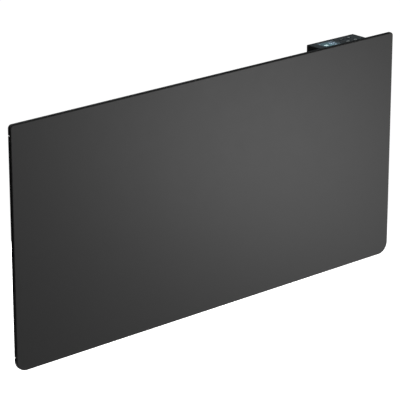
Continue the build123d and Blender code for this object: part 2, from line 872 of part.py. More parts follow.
with BuildPart() as display_bezel:
    with BuildSketch(Plane.XY.offset(bezel_bottom_z)):
        with Locations((control_centre_x, display_mid_y)):
            Rectangle(bezel_length, bezel_width)
        with Locations(window_place):
            RectangleRounded(window_length, window_width, window_radius, mode=Mode.SUBTRACT)
        with Locations(*key_places):
            RectangleRounded(
                key_length + 2 * key_clearance,
                key_width + 2 * key_clearance,
                key_radius + key_clearance,
                mode=Mode.SUBTRACT,
            )
    extrude(amount=bezel_thickness)
    with BuildSketch(Plane.XY.offset(bezel_top_z)):
        with Locations(window_place):
            RectangleRounded(
                window_length + 2 * lens_step, window_width + 2 * lens_step, window_radius + lens_step
            )
    extrude(amount=-lens_thickness, mode=Mode.SUBTRACT)
    # skirts at both ends that stand on the display board
    with BuildSketch(Plane.XY.offset(bezel_bottom_z)):
        for side in (-1, 1):
            with Locations((control_centre_x + side * (bezel_length - bezel_skirt) / 2, display_mid_y)):
                Rectangle(bezel_skirt, bezel_width)
    extrude(amount=-lcd_thickness)
finish(display_bezel, "display_bezel")

with BuildPart() as display_lens:
    with BuildSketch(Plane.XY.offset(bezel_top_z)):
        with Locations(window_place):
            RectangleRounded(
                window_length + 2 * (lens_step - lens_clearance),
                window_width + 2 * (lens_step - lens_clearance),
                window_radius + lens_step - lens_clearance,
            )
    extrude(amount=-lens_thickness)
finish(display_lens, "display_lens")

with BuildPart() as lcd_module:
    with BuildSketch(Plane.XY.offset(display_board_top_z)):
        with Locations(window_place):
            Rectangle(window_length + 2 * lcd_border, window_width + 2 * lcd_border)
    extrude(amount=lcd_thickness)
finish(lcd_module, "lcd_module")

with BuildPart() as display_board:
    with BuildSketch(Plane.XY.offset(display_board_bottom_z)):
        with Locations((control_centre_x, display_mid_y)):
            Rectangle(
                control_width - 2 * control_wall - 2 * display_board_clearance,
                cover_front_y - top_pocket_front_y - 2 * display_board_clearance,
            )
    extrude(amount=display_board_thickness)
finish(display_board, "display_board")

key_top_z = bezel_top_z + key_proud
key_bottom_z = bezel_bottom_z - key_flange_thickness
for key_name, key_place in zip(("key_menu", "key_power", "key_minus", "key_plus"), key_places):
    with BuildPart() as key:
        with BuildSketch(Plane.XY.offset(key_bottom_z)):
            with Locations(key_place):
                Rectangle(key_length + 2 * key_flange, key_width + 2 * key_flange)
        extrude(amount=key_flange_thickness)
        with BuildSketch(Plane.XY.offset(bezel_bottom_z)):
            with Locations(key_place):
                RectangleRounded(key_length, key_width, key_radius)
        extrude(amount=key_top_z - bezel_bottom_z)
        chamfer(key.faces().sort_by(Axis.Z)[-1].edges(), key_proud)
    finish(key, key_name)

with BuildPart() as tact_switches:
    with BuildSketch(Plane.XY.offset(display_board_top_z)):
        with Locations(*key_places):
            Rectangle(tact_size, tact_size)
    extrude(amount=tact_height)
    with BuildSketch(Plane.XY.offset(display_board_top_z + tact_height)):
        with Locations(*key_places):
            Circle(tact_plunger_diameter / 2)
    tact_plunger_top_z = key_bottom_z - key_travel - key_stop_clearance
    extrude(amount=tact_plunger_top_z - display_board_top_z - tact_height)
finish(tact_switches, "tact_switches")

# ---------------------------------------------------------------- power board and what it carries
with BuildPart() as power_board:
    with BuildSketch(upright_plane(power_board_back_y)):
        with Locations(power_board_mid):
            Rectangle(power_board_width, power_board_height)
    extrude(amount=power_board_thickness)
finish(power_board, "power_board")


def board_place(right, up):
    """A place on the power board, from its lower left corner."""
    return (power_board_left_x + right, power_board_bottom_z + up)


def board_block(label, place, width, height, depth, edge):
    """A boxed component that stands on the power board."""
    with BuildPart() as block:
        with BuildSketch(upright_plane(power_board_back_y)):
            with Locations(place):
                Rectangle(width, height)
        extrude(amount=-depth)
        chamfer(block.faces().sort_by(Axis.Y)[-1].edges(), edge)
    finish(block, label)


relay_place = board_place(relay_right, relay_up)
transformer_place = board_place(transformer_right, transformer_up)
capacitor_place = board_place(capacitor_right, capacitor_up)
terminal_block_place = board_place(terminal_block_right, terminal_block_up)
sensor_place = board_place(sensor_right, sensor_up)
board_block("relay", relay_place, relay_width, relay_height, relay_depth, relay_edge)
board_block(
    "transformer",
    transformer_place,
    transformer_width,
    transformer_height,
    transformer_depth,
    transformer_edge,
)

with BuildPart() as capacitor:
    with BuildSketch(upright_plane(power_board_back_y)):
        with Locations(capacitor_place):
            Circle(capacitor_diameter / 2)
    extrude(amount=-capacitor_length)
    chamfer(capacitor.faces().sort_by(Axis.Y)[-1].edges(), capacitor_edge)
finish(capacitor, "capacitor")

terminal_block_back_y = power_board_back_y + terminal_block_depth
with BuildPart() as terminal_block:
    with BuildSketch(upright_plane(power_board_back_y)):
        with Locations(terminal_block_place):
            Rectangle(terminal_block_ways * terminal_way_pitch, terminal_block_height)
    extrude(amount=-terminal_block_depth)
    # a screw well above each way, open upwards
    with BuildSketch(Plane.XY.offset(terminal_block_place[1] + terminal_block_height / 2)):
        with Locations((terminal_block_x, power_board_back_y + terminal_block_depth / 2)):
            with GridLocations(terminal_way_pitch, 1, terminal_block_ways, 1):
                Rectangle(terminal_well_size, terminal_well_size)
    extrude(amount=-terminal_well_depth, mode=Mode.SUBTRACT)
finish(terminal_block, "terminal_block")

with BuildPart() as room_sensor:
    with BuildSketch(upright_plane(power_board_back_y)):
        with Locations(sensor_place):
            with GridLocations(sensor_lead_spacing, 1, 2, 1):
                Rectangle(sensor_lead_size, sensor_lead_size)
    extrude(amount=-sensor_lead_length)
    with BuildSketch(upright_plane(power_board_back_y + sensor_lead_length)):
        with Locations(sensor_place):
            Circle(sensor_bead_diameter / 2)
    extrude(amount=-sensor_bead_length)
finish(room_sensor, "room_sensor")

# ---------------------------------------------------------------- mains switch
switch_well_length = switch_body_length - 2 * switch_hole_clearance - 2 * switch_wall
switch_well_height = switch_body_height - 2 * switch_hole_clearance - 2 * switch_wall
switch_face_x = control_right_x + switch_lip
rocker_pivot_x = switch_face_x - rocker_pivot_depth
rocker_radius = switch_well_length / 2 - rocker_clearance
rocker_half_height = switch_well_height / 2 - rocker_clearance

with BuildPart() as switch_body:
    with BuildSketch(side_plane(control_right_x)):
        with Locations((control_mid_y, switch_z)):
            RectangleRounded(switch_length, switch_height, switch_corner_radius)
    extrude(amount=switch_lip)
    chamfer(switch_body.faces().sort_by(Axis.X)[-1].edges(), switch_lip_chamfer)
    with BuildSketch(side_plane(control_right_x)):
        with Locations((control_mid_y, switch_z)):
            Rectangle(
                switch_body_length - 2 * switch_hole_clearance, switch_body_height - 2 * switch_hole_clearance
            )
    extrude(amount=-switch_body_depth)
    with BuildSketch(side_plane(switch_face_x)):
        with Locations((control_mid_y, switch_z)):
            Rectangle(switch_well_length, switch_well_height)
    extrude(amount=-(switch_lip + switch_body_depth - switch_wall), mode=Mode.SUBTRACT)
    # seats for the rocker's two pins
    with BuildSketch(Plane.XY.offset(switch_z)):
        with Locations((rocker_pivot_x, control_mid_y)):
            Circle(rocker_pin_diameter / 2 + rocker_pin_clearance)
    extrude(
        amount=rocker_half_height + rocker_pin_length + rocker_pin_clearance, both=True, mode=Mode.SUBTRACT
    )
    # solder tabs at the back
    with BuildSketch(side_plane(control_right_x - switch_body_depth)):
        with Locations((control_mid_y, switch_z)):
            with GridLocations(switch_tab_pitch, 1, 3, 1):
                Rectangle(switch_tab_sheet, switch_tab_width)
    extrude(amount=-switch_tab_length)
finish(switch_body, "switch_body")

# drawn pressed at its rear end, as it lies while the heater is on
with BuildPart() as switch_rocker:
    with BuildSketch(Plane.XY.offset(switch_z - rocker_half_height)):
        with Locations(Location((rocker_pivot_x, control_mid_y), rocker_tilt)):
            Circle(rocker_radius)
            Polygon(
                (rocker_crown, 0),
                (rocker_crown + rocker_radius * sin(radians(rocker_tilt)), rocker_radius),
                (2 * rocker_radius, rocker_radius),
                (2 * rocker_radius, -rocker_radius),
                (rocker_crown + rocker_radius * sin(radians(rocker_tilt)), -rocker_radius),
                mode=Mode.SUBTRACT,
            )
            with Locations((-rocker_keel, 0)):
                Rectangle(
                    rocker_radius, 2 * rocker_radius, align=(Align.MAX, Align.CENTER), mode=Mode.SUBTRACT
                )
    extrude(amount=2 * rocker_half_height)
    with BuildSketch(Plane.XY.offset(switch_z)):
        with Locations((rocker_pivot_x, control_mid_y)):
            Circle(rocker_pin_diameter / 2)
    extrude(amount=rocker_half_height + rocker_pin_length, both=True)
finish(switch_rocker, "switch_rocker")

# ---------------------------------------------------------------- cord gland
gland_bore_radius = gland_bore_diameter / 2
gland_seal_back_x = control_right_x + gland_hex_thickness + gland_spigot_length
gland_dome_front_x = control_right_x + gland_hex_thickness


gland_plane = Plane(origin=(0, control_mid_y, gland_z), x_dir=(1, 0, 0), z_dir=(0, -1, 0))
gland_axis = Axis((0, control_mid_y, gland_z), (1, 0, 0))

with BuildPart() as gland_body:
    with BuildSketch(side_plane(control_right_x)):
        with Locations((control_mid_y, gland_z)):
            RegularPolygon(gland_hex / 2, 6, major_radius=False)
    extrude(amount=gland_hex_thickness)
    with BuildSketch(side_plane(control_right_x + gland_hex_thickness)):
        with Locations((control_mid_y, gland_z)):
            Circle(gland_spigot_diameter / 2)
    extrude(amount=gland_spigot_length)
    with BuildSketch(side_plane(control_right_x)):
        with Locations((control_mid_y, gland_z)):
            Circle(gland_thread_diameter / 2)
    extrude(amount=-gland_thread_length)
    with BuildSketch(side_plane(gland_seal_back_x)):
        with Locations((control_mid_y, gland_z)):
            Circle(gland_bore_radius)
    extrude(amount=-(gland_thread_length + gland_hex_thickness + gland_spigot_length), mode=Mode.SUBTRACT)
finish(gland_body, "gland_body")

seal_radius = gland_spigot_diameter / 2
seal_end_radius = gland_seal_end_diameter / 2
seal_end_x = gland_seal_back_x + gland_seal_length
with BuildPart() as gland_seal:
    with BuildSketch(gland_plane):
        with BuildLine():
            Polyline(
                (gland_seal_back_x, gland_bore_radius),
                (gland_seal_back_x, seal_radius),
                (seal_end_x, seal_end_radius),
                (seal_end_x, gland_bore_radius),
                close=True,
            )
        make_face()
    revolve(axis=gland_axis)
finish(gland_seal, "gland_seal")

with BuildPart() as gland_nut:
    with BuildSketch(gland_plane):
        with BuildLine():
            dome_radius = gland_dome_diameter / 2
            dome_mouth_radius = gland_dome_mouth_diameter / 2
            dome_shoulder_x = gland_dome_front_x + gland_dome_shoulder
            dome_end_x = gland_dome_front_x + gland_dome_length
            inner_radius = seal_radius + gland_dome_clearance
            Polyline(
                (gland_dome_front_x, inner_radius),
                (gland_dome_front_x, dome_radius),
                (dome_shoulder_x, dome_radius),
            )
            TangentArc((dome_shoulder_x, dome_radius), (dome_end_x, dome_mouth_radius), tangent=(1, 0))
            Polyline(
                (dome_end_x, dome_mouth_radius),
                (dome_end_x, gland_dome_mouth_bore / 2),
                (seal_end_x + gland_dome_clearance, gland_dome_mouth_bore / 2),
                (seal_end_x + gland_dome_clearance, seal_end_radius + gland_dome_clearance),
                (gland_seal_back_x, inner_radius),
                (gland_dome_front_x, inner_radius),
            )
        make_face()
    revolve(axis=gland_axis)
finish(gland_nut, "gland_nut")

with BuildPart() as gland_locknut:
    with BuildSketch(side_plane(control_inner_right_x)):
        with Locations((control_mid_y, gland_z)):
            RegularPolygon(gland_locknut_hex / 2, 6, major_radius=False)
            Circle(gland_thread_diameter / 2 + gland_locknut_clearance, mode=Mode.SUBTRACT)
    extrude(amount=-gland_locknut_thickness)
finish(gland_locknut, "gland_locknut")

# ================================================================ thermal cut-out and leads
cutout_seat_y = film_back_y
cutout_flange_back_y = cutout_seat_y + cutout_flange_sheet
cutout_cap_back_y = cutout_flange_back_y + cutout_height
with BuildPart() as thermal_cutout:
    with BuildSketch(upright_plane(cutout_flange_back_y)):
        with Locations(cutout_place):
            Circle(cutout_flange_diameter / 2)
    extrude(amount=cutout_flange_sheet)
    with BuildSketch(upright_plane(cutout_cap_back_y)):
        with Locations(cutout_place):
            Circle(cutout_diameter / 2)
    extrude(amount=cutout_height)
    with BuildSketch(upright_plane(cutout_cap_back_y + cutout_tab_length)):
        with Locations(cutout_place):
            with GridLocations(1, cutout_tab_spacing, 1, 2):
                Rectangle(cutout_tab_width, cutout_tab_sheet)
    extrude(amount=cutout_tab_length)
finish(thermal_cutout, "thermal_cutout")


def lead(label, points, radii):
    """An insulated wire along straight runs joined by tangent arcs, with a six-sided section."""
    with BuildPart() as wire:
        with BuildLine() as route:
            FilletPolyline(*points, radius=radii)
        with BuildSketch(Plane(origin=route.line @ 0, z_dir=route.line % 0)):
            RegularPolygon(lead_diameter / 2, 6)
        sweep()
    finish(wire, label)


tab_end_y = cutout_cap_back_y + cutout_tab_length
terminal_back_y = track_back_y + terminal_sheet
block_z = terminal_block_place[1]
cutout_high_z = cutout_place[1] + cutout_tab_spacing / 2
cutout_low_z = cutout_place[1] - cutout_tab_spacing / 2
first_tab, last_tab = terminal_places
beside_notch_x = notch_left_x - lead_beside_notch
below_notch_z = notch_floor_z - lead_below_notch

lead(
    "lead_live",
    [
        (live_x, tab_end_y, cutout_high_z),
        (live_x, lead_y, cutout_high_z),
        (live_x, lead_y, block_z),
        (live_x, terminal_block_back_y, block_z),
    ],
    [lead_end_radius, lead_end_radius],
)
lead(
    "lead_element",
    [
        (last_tab[0], terminal_back_y, last_tab[1]),
        (last_tab[0], lead_y, last_tab[1]),
        (last_tab[0], lead_y, cutout_low_z),
        (live_x, lead_y, cutout_low_z),
        (live_x, tab_end_y, cutout_low_z),
    ],
    [lead_bend_radius, lead_bend_radius, lead_end_radius],
)
lead(
    "lead_neutral",
    [
        (first_tab[0], terminal_back_y, first_tab[1]),
        (first_tab[0], lead_y, first_tab[1]),
        (beside_notch_x, lead_y, first_tab[1]),
        (beside_notch_x, lead_y, below_notch_z),
        (neutral_x, lead_y, below_notch_z),
        (neutral_x, lead_y, block_z),
        (neutral_x, terminal_block_back_y, block_z),
    ],
    [lead_bend_radius, lead_bend_radius, lead_bend_radius, lead_bend_radius, lead_end_radius],
)

grommet_length = casing_sheet + control_gap + control_wall
with BuildPart() as lead_grommets:
    for amount, diameter in (
        (-grommet_flange_thickness, grommet_flange_diameter),
        (grommet_length, grommet_neck_diameter),
    ):
        with BuildSketch(Plane.XY.offset(notch_floor_z - casing_sheet)):
            with Locations(*grommet_places):
                Circle(diameter / 2)
                Circle(lead_diameter / 2 + grommet_clearance, mode=Mode.SUBTRACT)
        extrude(amount=amount)
finish(lead_grommets, "lead_grommets")

# ================================================================ wall bracket
upright_half = upright_web_width / 2
upright_mid_y = -bracket_depth + upright_sheet / 2
foot_mid_y = -rail_sheet - upright_sheet / 2
leg_mid = upright_half - upright_sheet / 2


def upright(label, x):
    """A hat-section upright with a hook pressed forward out of its web at each end."""
    with BuildPart() as piece:
        with BuildSketch(Plane.XY.offset(-upright_end_z)):
            with BuildLine():
                FilletPolyline(
                    (x - upright_half - upright_foot_width, foot_mid_y),
                    (x - leg_mid, foot_mid_y),
                    (x - leg_mid, upright_mid_y),
                    (x + leg_mid, upright_mid_y),
                    (x + leg_mid, foot_mid_y),
                    (x + upright_half + upright_foot_width, foot_mid_y),
                    radius=upright_bend_radius,
                )
            trace(line_width=upright_sheet)
        extrude(amount=2 * upright_end_z)
        for hook_z in (-hook_spacing / 2, hook_spacing / 2):
            reach = pad_thickness + casing_sheet + hook_plate_sheet + hook_play + hook_sheet
            # the window that the hook's blank leaves
            with BuildSketch(upright_plane(-bracket_depth + upright_sheet)):
                with Locations((x, hook_z)):
                    Rectangle(
                        hook_width + 2 * hook_window_clearance,
                        reach + hook_lip_height - hook_sheet,
                        align=(Align.CENTER, Align.MIN),
                    )
            extrude(amount=upright_sheet, mode=Mode.SUBTRACT)
            # the hook: a tongue that comes forward and a lip that turns up
            front = -bracket_depth - reach
            with BuildSketch(side_plane(x - hook_width / 2)) as hook_profile:
                with BuildLine():
                    Polyline(
                        (-bracket_depth, hook_z - hook_sheet),
                        (front, hook_z - hook_sheet),
                        (front, hook_z + hook_lip_height),
                        (front + hook_sheet, hook_z + hook_lip_height),
                        (front + hook_sheet, hook_z),
                        (-bracket_depth, hook_z),
                        close=True,
                    )
                make_face()
                fillet(hook_profile.vertices().group_by(Axis.X)[0].sort_by(Axis.Y)[0], hook_sheet)
                fillet(hook_profile.vertices().group_by(Axis.Y)[-1], hook_tip_radius)
            extrude(amount=hook_width)
    finish(piece, label)


upright("bracket_upright_left", -upright_spacing / 2)
upright("bracket_upright_right", upright_spacing / 2)

upright_outer_x = upright_spacing / 2 + upright_half + upright_foot_width
rail_length = 2 * (upright_outer_x + rail_overhang)
rail_lip_half_length = upright_spacing / 2 - upright_half - upright_foot_width - rail_lip_clearance


def rail(label, z):
    """A strip along the wall with the screw slots, stiffened by two lips between the uprights."""
    with BuildPart() as piece:
        with BuildSketch(upright_plane(0)):
            with Locations((0, z)):
                RectangleRounded(rail_length, rail_height, rail_end_radius)
            with Locations(*[(side * wall_slot_spacing / 2, z) for side in (-1, 1)]):
                SlotOverall(wall_slot_length, wall_slot_width, mode=Mode.SUBTRACT)
        extrude(amount=rail_sheet)
        with BuildSketch(upright_plane(-rail_sheet)):
            for side in (-1, 1):
                with Locations((0, z + side * (rail_height - rail_sheet) / 2)):
                    Rectangle(2 * rail_lip_half_length, rail_sheet)
        extrude(amount=rail_lip_depth)
    finish(piece, label)


rail("bracket_rail_top", rail_spacing / 2)
rail("bracket_rail_bottom", -rail_spacing / 2)

with BuildPart() as bracket_pads:
    with BuildSketch(upright_plane(-bracket_depth)):
        with Locations(
            *[
                (side * upright_spacing / 2, end * (upright_end_z - pad_from_end))
                for side in (-1, 1)
                for end in (-1, 1)
            ]
        ):
            Circle(pad_diameter / 2)
    extrude(amount=pad_thickness)
finish(bracket_pads, "bracket_pads")

for piece in pieces:
    export_step(piece, f"parts/{piece.label}.step")
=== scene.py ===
"""Looks for the infrared panel heater: finishes for every piece, the display's lit figures, the keys'
lit signs, the rear cover's cross-recessed screws, the gland's ribbed nut and the mains rocker's two
marks, with a plain studio round them.

All places are in metres in the heater's own frame: X right, Y towards the wall, Z up.
"""

import json
from functools import partial
from math import asin, cos, pi, radians, sin

import bmesh
import bpy
from mathutils import Matrix, Vector


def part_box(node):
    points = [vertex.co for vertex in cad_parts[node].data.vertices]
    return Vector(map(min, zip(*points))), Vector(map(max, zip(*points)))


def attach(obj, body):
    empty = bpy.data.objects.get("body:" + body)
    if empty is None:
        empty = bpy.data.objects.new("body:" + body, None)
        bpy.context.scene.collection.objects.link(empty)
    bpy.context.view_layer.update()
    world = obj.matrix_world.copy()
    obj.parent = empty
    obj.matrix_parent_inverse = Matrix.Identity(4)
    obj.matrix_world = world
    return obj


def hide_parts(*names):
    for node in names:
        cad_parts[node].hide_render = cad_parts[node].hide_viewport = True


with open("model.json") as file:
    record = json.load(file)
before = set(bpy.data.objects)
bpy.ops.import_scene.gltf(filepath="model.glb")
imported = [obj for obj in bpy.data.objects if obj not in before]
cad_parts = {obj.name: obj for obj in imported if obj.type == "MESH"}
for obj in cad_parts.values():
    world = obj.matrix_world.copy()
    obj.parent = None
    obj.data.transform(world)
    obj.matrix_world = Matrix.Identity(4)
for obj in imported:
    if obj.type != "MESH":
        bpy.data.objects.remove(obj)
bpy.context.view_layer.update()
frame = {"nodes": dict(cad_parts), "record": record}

MM = 0.001


def mm(*values):
    """Lengths in metres from these in millimetres."""
    return tuple(value * MM for value in values)


def add_object(name, data):
    """A new object in the scene that holds this mesh, lamp or camera."""
    thing = bpy.data.objects.new(name, data)
    bpy.context.scene.collection.objects.link(thing)
    return thing


def top_middle(node):
    """The middle of the top of a node's box."""
    low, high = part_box(node)
    return Vector(((low.x + high.x) / 2, (low.y + high.y) / 2, high.z))


# ---------------------------------------------------------------- camera
# from the front panel's lowest corner, at the front left, in heights of the panel
CAMERA_OFFSET = Vector((-4.7483, -6.4964, 3.5126))
CAMERA_PITCH_DOWN = radians(19.279)
CAMERA_YAW = radians(41.18)
CAMERA_LENS = 203.95
SENSOR_WIDTH = 36.0


def make_camera():
    """The photograph's view, from the left and above."""
    low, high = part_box("front_panel")
    data = bpy.data.cameras.new("camera")
    data.lens = CAMERA_LENS
    data.sensor_width = SENSOR_WIDTH
    camera = add_object("camera", data)
    camera.location = low + CAMERA_OFFSET * (high.z - low.z)
    camera.rotation_euler = (pi / 2 - CAMERA_PITCH_DOWN, 0, -CAMERA_YAW)
    bpy.context.scene.camera = camera


# ---------------------------------------------------------------- shader helpers
# the range that most of a noise lies in
USUAL_LOW = 0.3
USUAL_HIGH = 0.7


def new_material(name, roughness, metallic=0.0, specular=0.5, coat=0.0):
    """A material with one principled shader, and its node tree."""
    material = bpy.data.materials.new(name)
    material.use_nodes = True
    tree = material.node_tree
    shader = tree.nodes["Principled BSDF"]
    shader.inputs["Roughness"].default_value = roughness
    shader.inputs["Metallic"].default_value = metallic
    shader.inputs["Specular IOR Level"].default_value = specular
    shader.inputs["Coat Weight"].default_value = coat
    return material, tree, shader


def add_node(tree, kind, values=None):
    """A new shader node of this kind, with values on its inputs, keyed by their name or number."""
    node = tree.nodes.new("ShaderNode" + kind)
    for key, value in (values or {}).items():
        node.inputs[key].default_value = value
    return node


def coordinates(tree, stretch=(1, 1, 1)):
    """The surface's own coordinates in metres, stretched along each axis."""
    source = add_node(tree, "TexCoord")
    mapping = add_node(tree, "Mapping", {"Scale": stretch})
    tree.links.new(source.outputs["Object"], mapping.inputs["Vector"])
    return mapping.outputs["Vector"]


def noise(tree, per_metre, detail=3.0, stretch=(1, 1, 1)):
    """Fractal noise with about this many features per metre."""
    node = add_node(tree, "TexNoise", {"Scale": per_metre, "Detail": detail})
    tree.links.new(coordinates(tree, stretch), node.inputs["Vector"])
    return node.outputs["Fac"]


def cells(tree, per_metre, stretch=(1, 1, 1)):
    """Distance to the nearest of about this many cell centres per metre."""
    node = add_node(tree, "TexVoronoi", {"Scale": per_metre})
    tree.links.new(coordinates(tree, stretch), node.inputs["Vector"])
    return node.outputs["Distance"]


def ramp(tree, value, low, high, start, end):
    """A colour that goes from low to high as the value rises from start to end."""
    node = add_node(tree, "ValToRGB")
    first, last = node.color_ramp.elements
    first.position, last.position = start, end
    first.color, last.color = (*low, 1), (*high, 1)
    tree.links.new(value, node.inputs["Fac"])
    return node.outputs["Color"]


def colours(tree, shader, value, low, high, start=USUAL_LOW, end=USUAL_HIGH):
    """Blend the base colour from low to high as the value rises from start to end."""
    tree.links.new(ramp(tree, value, low, high, start, end), shader.inputs["Base Color"])


def roughnesses(tree, shader, value, low, high):
    """Blend the roughness from low to high with the value."""
    node = add_node(tree, "MapRange", {
        "From Min": USUAL_LOW, "From Max": USUAL_HIGH, "To Min": low, "To Max": high,
    })
    tree.links.new(value, node.inputs["Value"])
    tree.links.new(node.outputs["Result"], shader.inputs["Roughness"])


def bumps(tree, shader, value, depth, strength):
    """Raise the surface with the value by this depth in metres."""
    node = add_node(tree, "Bump", {"Distance": depth, "Strength": strength})
    tree.links.new(value, node.inputs["Height"])
    tree.links.new(node.outputs["Normal"], shader.inputs["Normal"])


def glowing(tree, shader, value, low, high, strength):
    """Add a glow whose colour goes from low to high with the value."""
    colour = ramp(tree, value, low, high, start=0.0, end=1.0)
    tree.links.new(colour, shader.inputs["Emission Color"])
    shader.inputs["Emission Strength"].default_value = strength


def grey(level):
    return (level, level, level)


def shade(colour, factor):
    return tuple(channel * factor for channel in colour)


# ---------------------------------------------------------------- painted, moulded and bare finishes
# the least and the most of its colour or roughness that a spot has, as shares
MOULDED_COLOURS = (0.95, 1.05)
MOULDED_ROUGHNESSES = (0.96, 1.04)
METAL_COLOURS = (0.82, 1.08)
METAL_ROUGHNESSES = (0.75, 1.3)


def coating(name, level, roughness, specular, peel, cloud):
    """Powder coat: an even dark grey with a fine peel, its colour and sheen clouded by a small share."""
    material, tree, shader = new_material(name, roughness, specular=specular)
    less, more = 1 - cloud, 1 + cloud
    colours(tree, shader, noise(tree, per_metre=9.0, detail=4.0), grey(level * less), grey(level * more))
    roughnesses(tree, shader, noise(tree, per_metre=60.0, detail=5.0), roughness * less, roughness * more)
    bumps(tree, shader, noise(tree, per_metre=1100.0, detail=2.0), peel, strength=0.35)
    return material


def panel_coating():
    return coating("panel_coating", level=0.029, roughness=0.44, specular=0.15, peel=8e-6, cloud=0.015)


def casing_coating():
    return coating("casing_coating", level=0.03, roughness=0.55, specular=0.35, peel=20e-6, cloud=0.05)


def bracket_steel():
    return coating("bracket_steel", level=0.0345, roughness=0.5, specular=0.4, peel=25e-6, cloud=0.06)


def moulded(name, colour, roughness, grains, depth, specular=0.5, coat=0.0):
    """Moulded plastic or rubber: an even colour, with the mould's grain of so many cells per metre."""
    material, tree, shader = new_material(name, roughness, specular=specular, coat=coat)
    tones = [shade(colour, share) for share in MOULDED_COLOURS]
    colours(tree, shader, noise(tree, per_metre=40.0, detail=4.0), *tones)
    sheens = [roughness * share for share in MOULDED_ROUGHNESSES]
    roughnesses(tree, shader, noise(tree, per_metre=150.0, detail=4.0), *sheens)
    bumps(tree, shader, cells(tree, grains), depth, strength=0.4)
    return material


def housing_plastic():
    colour = (0.008, 0.008, 0.009)
    return moulded("housing_plastic", colour, roughness=0.5, grains=2600.0, depth=12e-6, specular=0.15)


def bezel_gloss():
    colour = (0.006, 0.0065, 0.007)
    return moulded("bezel_gloss", colour, roughness=0.16, grains=300.0, depth=1e-6, specular=0.4)


def key_gloss():
    colour = (0.009, 0.0095, 0.01)
    return moulded("key_gloss", colour, roughness=0.2, grains=400.0, depth=1e-6, specular=0.4)


def switch_plastic():
    return moulded("switch_plastic", grey(0.012), roughness=0.3, grains=1500.0, depth=5e-6)


def gland_nylon():
    return moulded("gland_nylon", grey(0.014), roughness=0.48, grains=1800.0, depth=12e-6)


def rubber():
    colour = (0.022, 0.022, 0.023)
    return moulded("rubber", colour, roughness=0.75, grains=2200.0, depth=20e-6, specular=0.35)


def component_black():
    colour = (0.016, 0.016, 0.017)
    return moulded("component_black", colour, roughness=0.42, grains=2400.0, depth=14e-6)


def component_blue():
    colour = (0.02, 0.06, 0.22)
    return moulded("component_blue", colour, roughness=0.3, grains=900.0, depth=6e-6, coat=0.3)


def terminal_grey():
    colour = (0.3, 0.31, 0.32)
    return moulded("terminal_grey", colour, roughness=0.45, grains=1800.0, depth=10e-6)


def sensor_epoxy():
    colour = (0.02, 0.018, 0.016)
    return moulded("sensor_epoxy", colour, roughness=0.2, grains=500.0, depth=8e-6, coat=0.4)


def lead_brown():
    colour = (0.16, 0.06, 0.028)
    return moulded("lead_brown", colour, roughness=0.5, grains=1600.0, depth=8e-6)


def lead_blue():
    colour = (0.035, 0.09, 0.32)
    return moulded("lead_blue", colour, roughness=0.5, grains=1600.0, depth=8e-6)


def cutout_case():
    """The cut-out's phenolic body: dark brown, with a dull moulded skin."""
    colour = (0.055, 0.03, 0.018)
    return moulded("cutout_case", colour, roughness=0.4, grains=1400.0, depth=10e-6)


def metal(name, colour, roughness, streaks, depth):
    """Bare metal with the streaks that rolling or plating leaves."""
    material, tree, shader = new_material(name, roughness, metallic=1.0)
    tones = [shade(colour, share) for share in METAL_COLOURS]
    colours(tree, shader, noise(tree, per_metre=25.0, detail=5.0), *tones)
    sheens = [roughness * share for share in METAL_ROUGHNESSES]
    roughnesses(tree, shader, noise(tree, per_metre=500.0, detail=4.0, stretch=streaks), *sheens)
    bumps(tree, shader, noise(tree, per_metre=900.0, stretch=streaks), depth, strength=0.5)
    return material


def track_foil():
    return metal("track_foil", (0.5, 0.48, 0.45), roughness=0.35, streaks=(0.05, 1, 1), depth=6e-6)


def reflector_foil():
    return metal("reflector_foil", (0.8, 0.8, 0.81), roughness=0.22, streaks=(1, 1, 0.2), depth=40e-6)


def tinned_brass():
    return metal("tinned_brass", (0.72, 0.66, 0.46), roughness=0.3, streaks=(1, 1, 0.1), depth=10e-6)


def black_steel():
    return metal("black_steel", (0.07, 0.07, 0.075), roughness=0.36, streaks=(1, 1, 1), depth=8e-6)


def zinc_steel():
    """Zinc plating: large blue-grey spangles over fine grain."""
    material, tree, shader = new_material("zinc_steel", roughness=0.38, metallic=1.0)
    colours(
        tree, shader, cells(tree, per_metre=170.0),
        low=(0.46, 0.48, 0.5), high=(0.66, 0.67, 0.68), start=0.1, end=0.7,
    )
    roughnesses(tree, shader, cells(tree, per_metre=170.0), low=0.28, high=0.5)
    bumps(tree, shader, noise(tree, per_metre=1300.0, detail=4.0), depth=8e-6, strength=0.5)
    return material


# ---------------------------------------------------------------- finishes of the inner pieces
def component_yellow():
    """A transformer's winding under yellow tape: fine parallel edges where the tape laps."""
    material, tree, shader = new_material("component_yellow", roughness=0.38, coat=0.2)
    colours(
        tree, shader, noise(tree, per_metre=90.0, detail=4.0),
        low=(0.5, 0.34, 0.05), high=(0.66, 0.48, 0.1),
    )
    roughnesses(tree, shader, noise(tree, per_metre=300.0), low=0.3, high=0.46)
    laps = noise(tree, per_metre=700.0, detail=2.0, stretch=(0.1, 0.1, 1))
    bumps(tree, shader, laps, depth=60e-6, strength=0.6)
    return material


def mica():
    """Pressed mica sheet: overlapping golden flakes."""
    material, tree, shader = new_material("mica", roughness=0.4)
    flakes = {"per_metre": 260.0, "stretch": (1, 1, 1.6)}
    colours(
        tree, shader, cells(tree, **flakes),
        low=(0.36, 0.25, 0.12), high=(0.68, 0.55, 0.34), start=0.1, end=0.6,
    )
    roughnesses(tree, shader, noise(tree, per_metre=120.0), low=0.28, high=0.55)
    bumps(tree, shader, cells(tree, **flakes), depth=40e-6, strength=0.5)
    return material


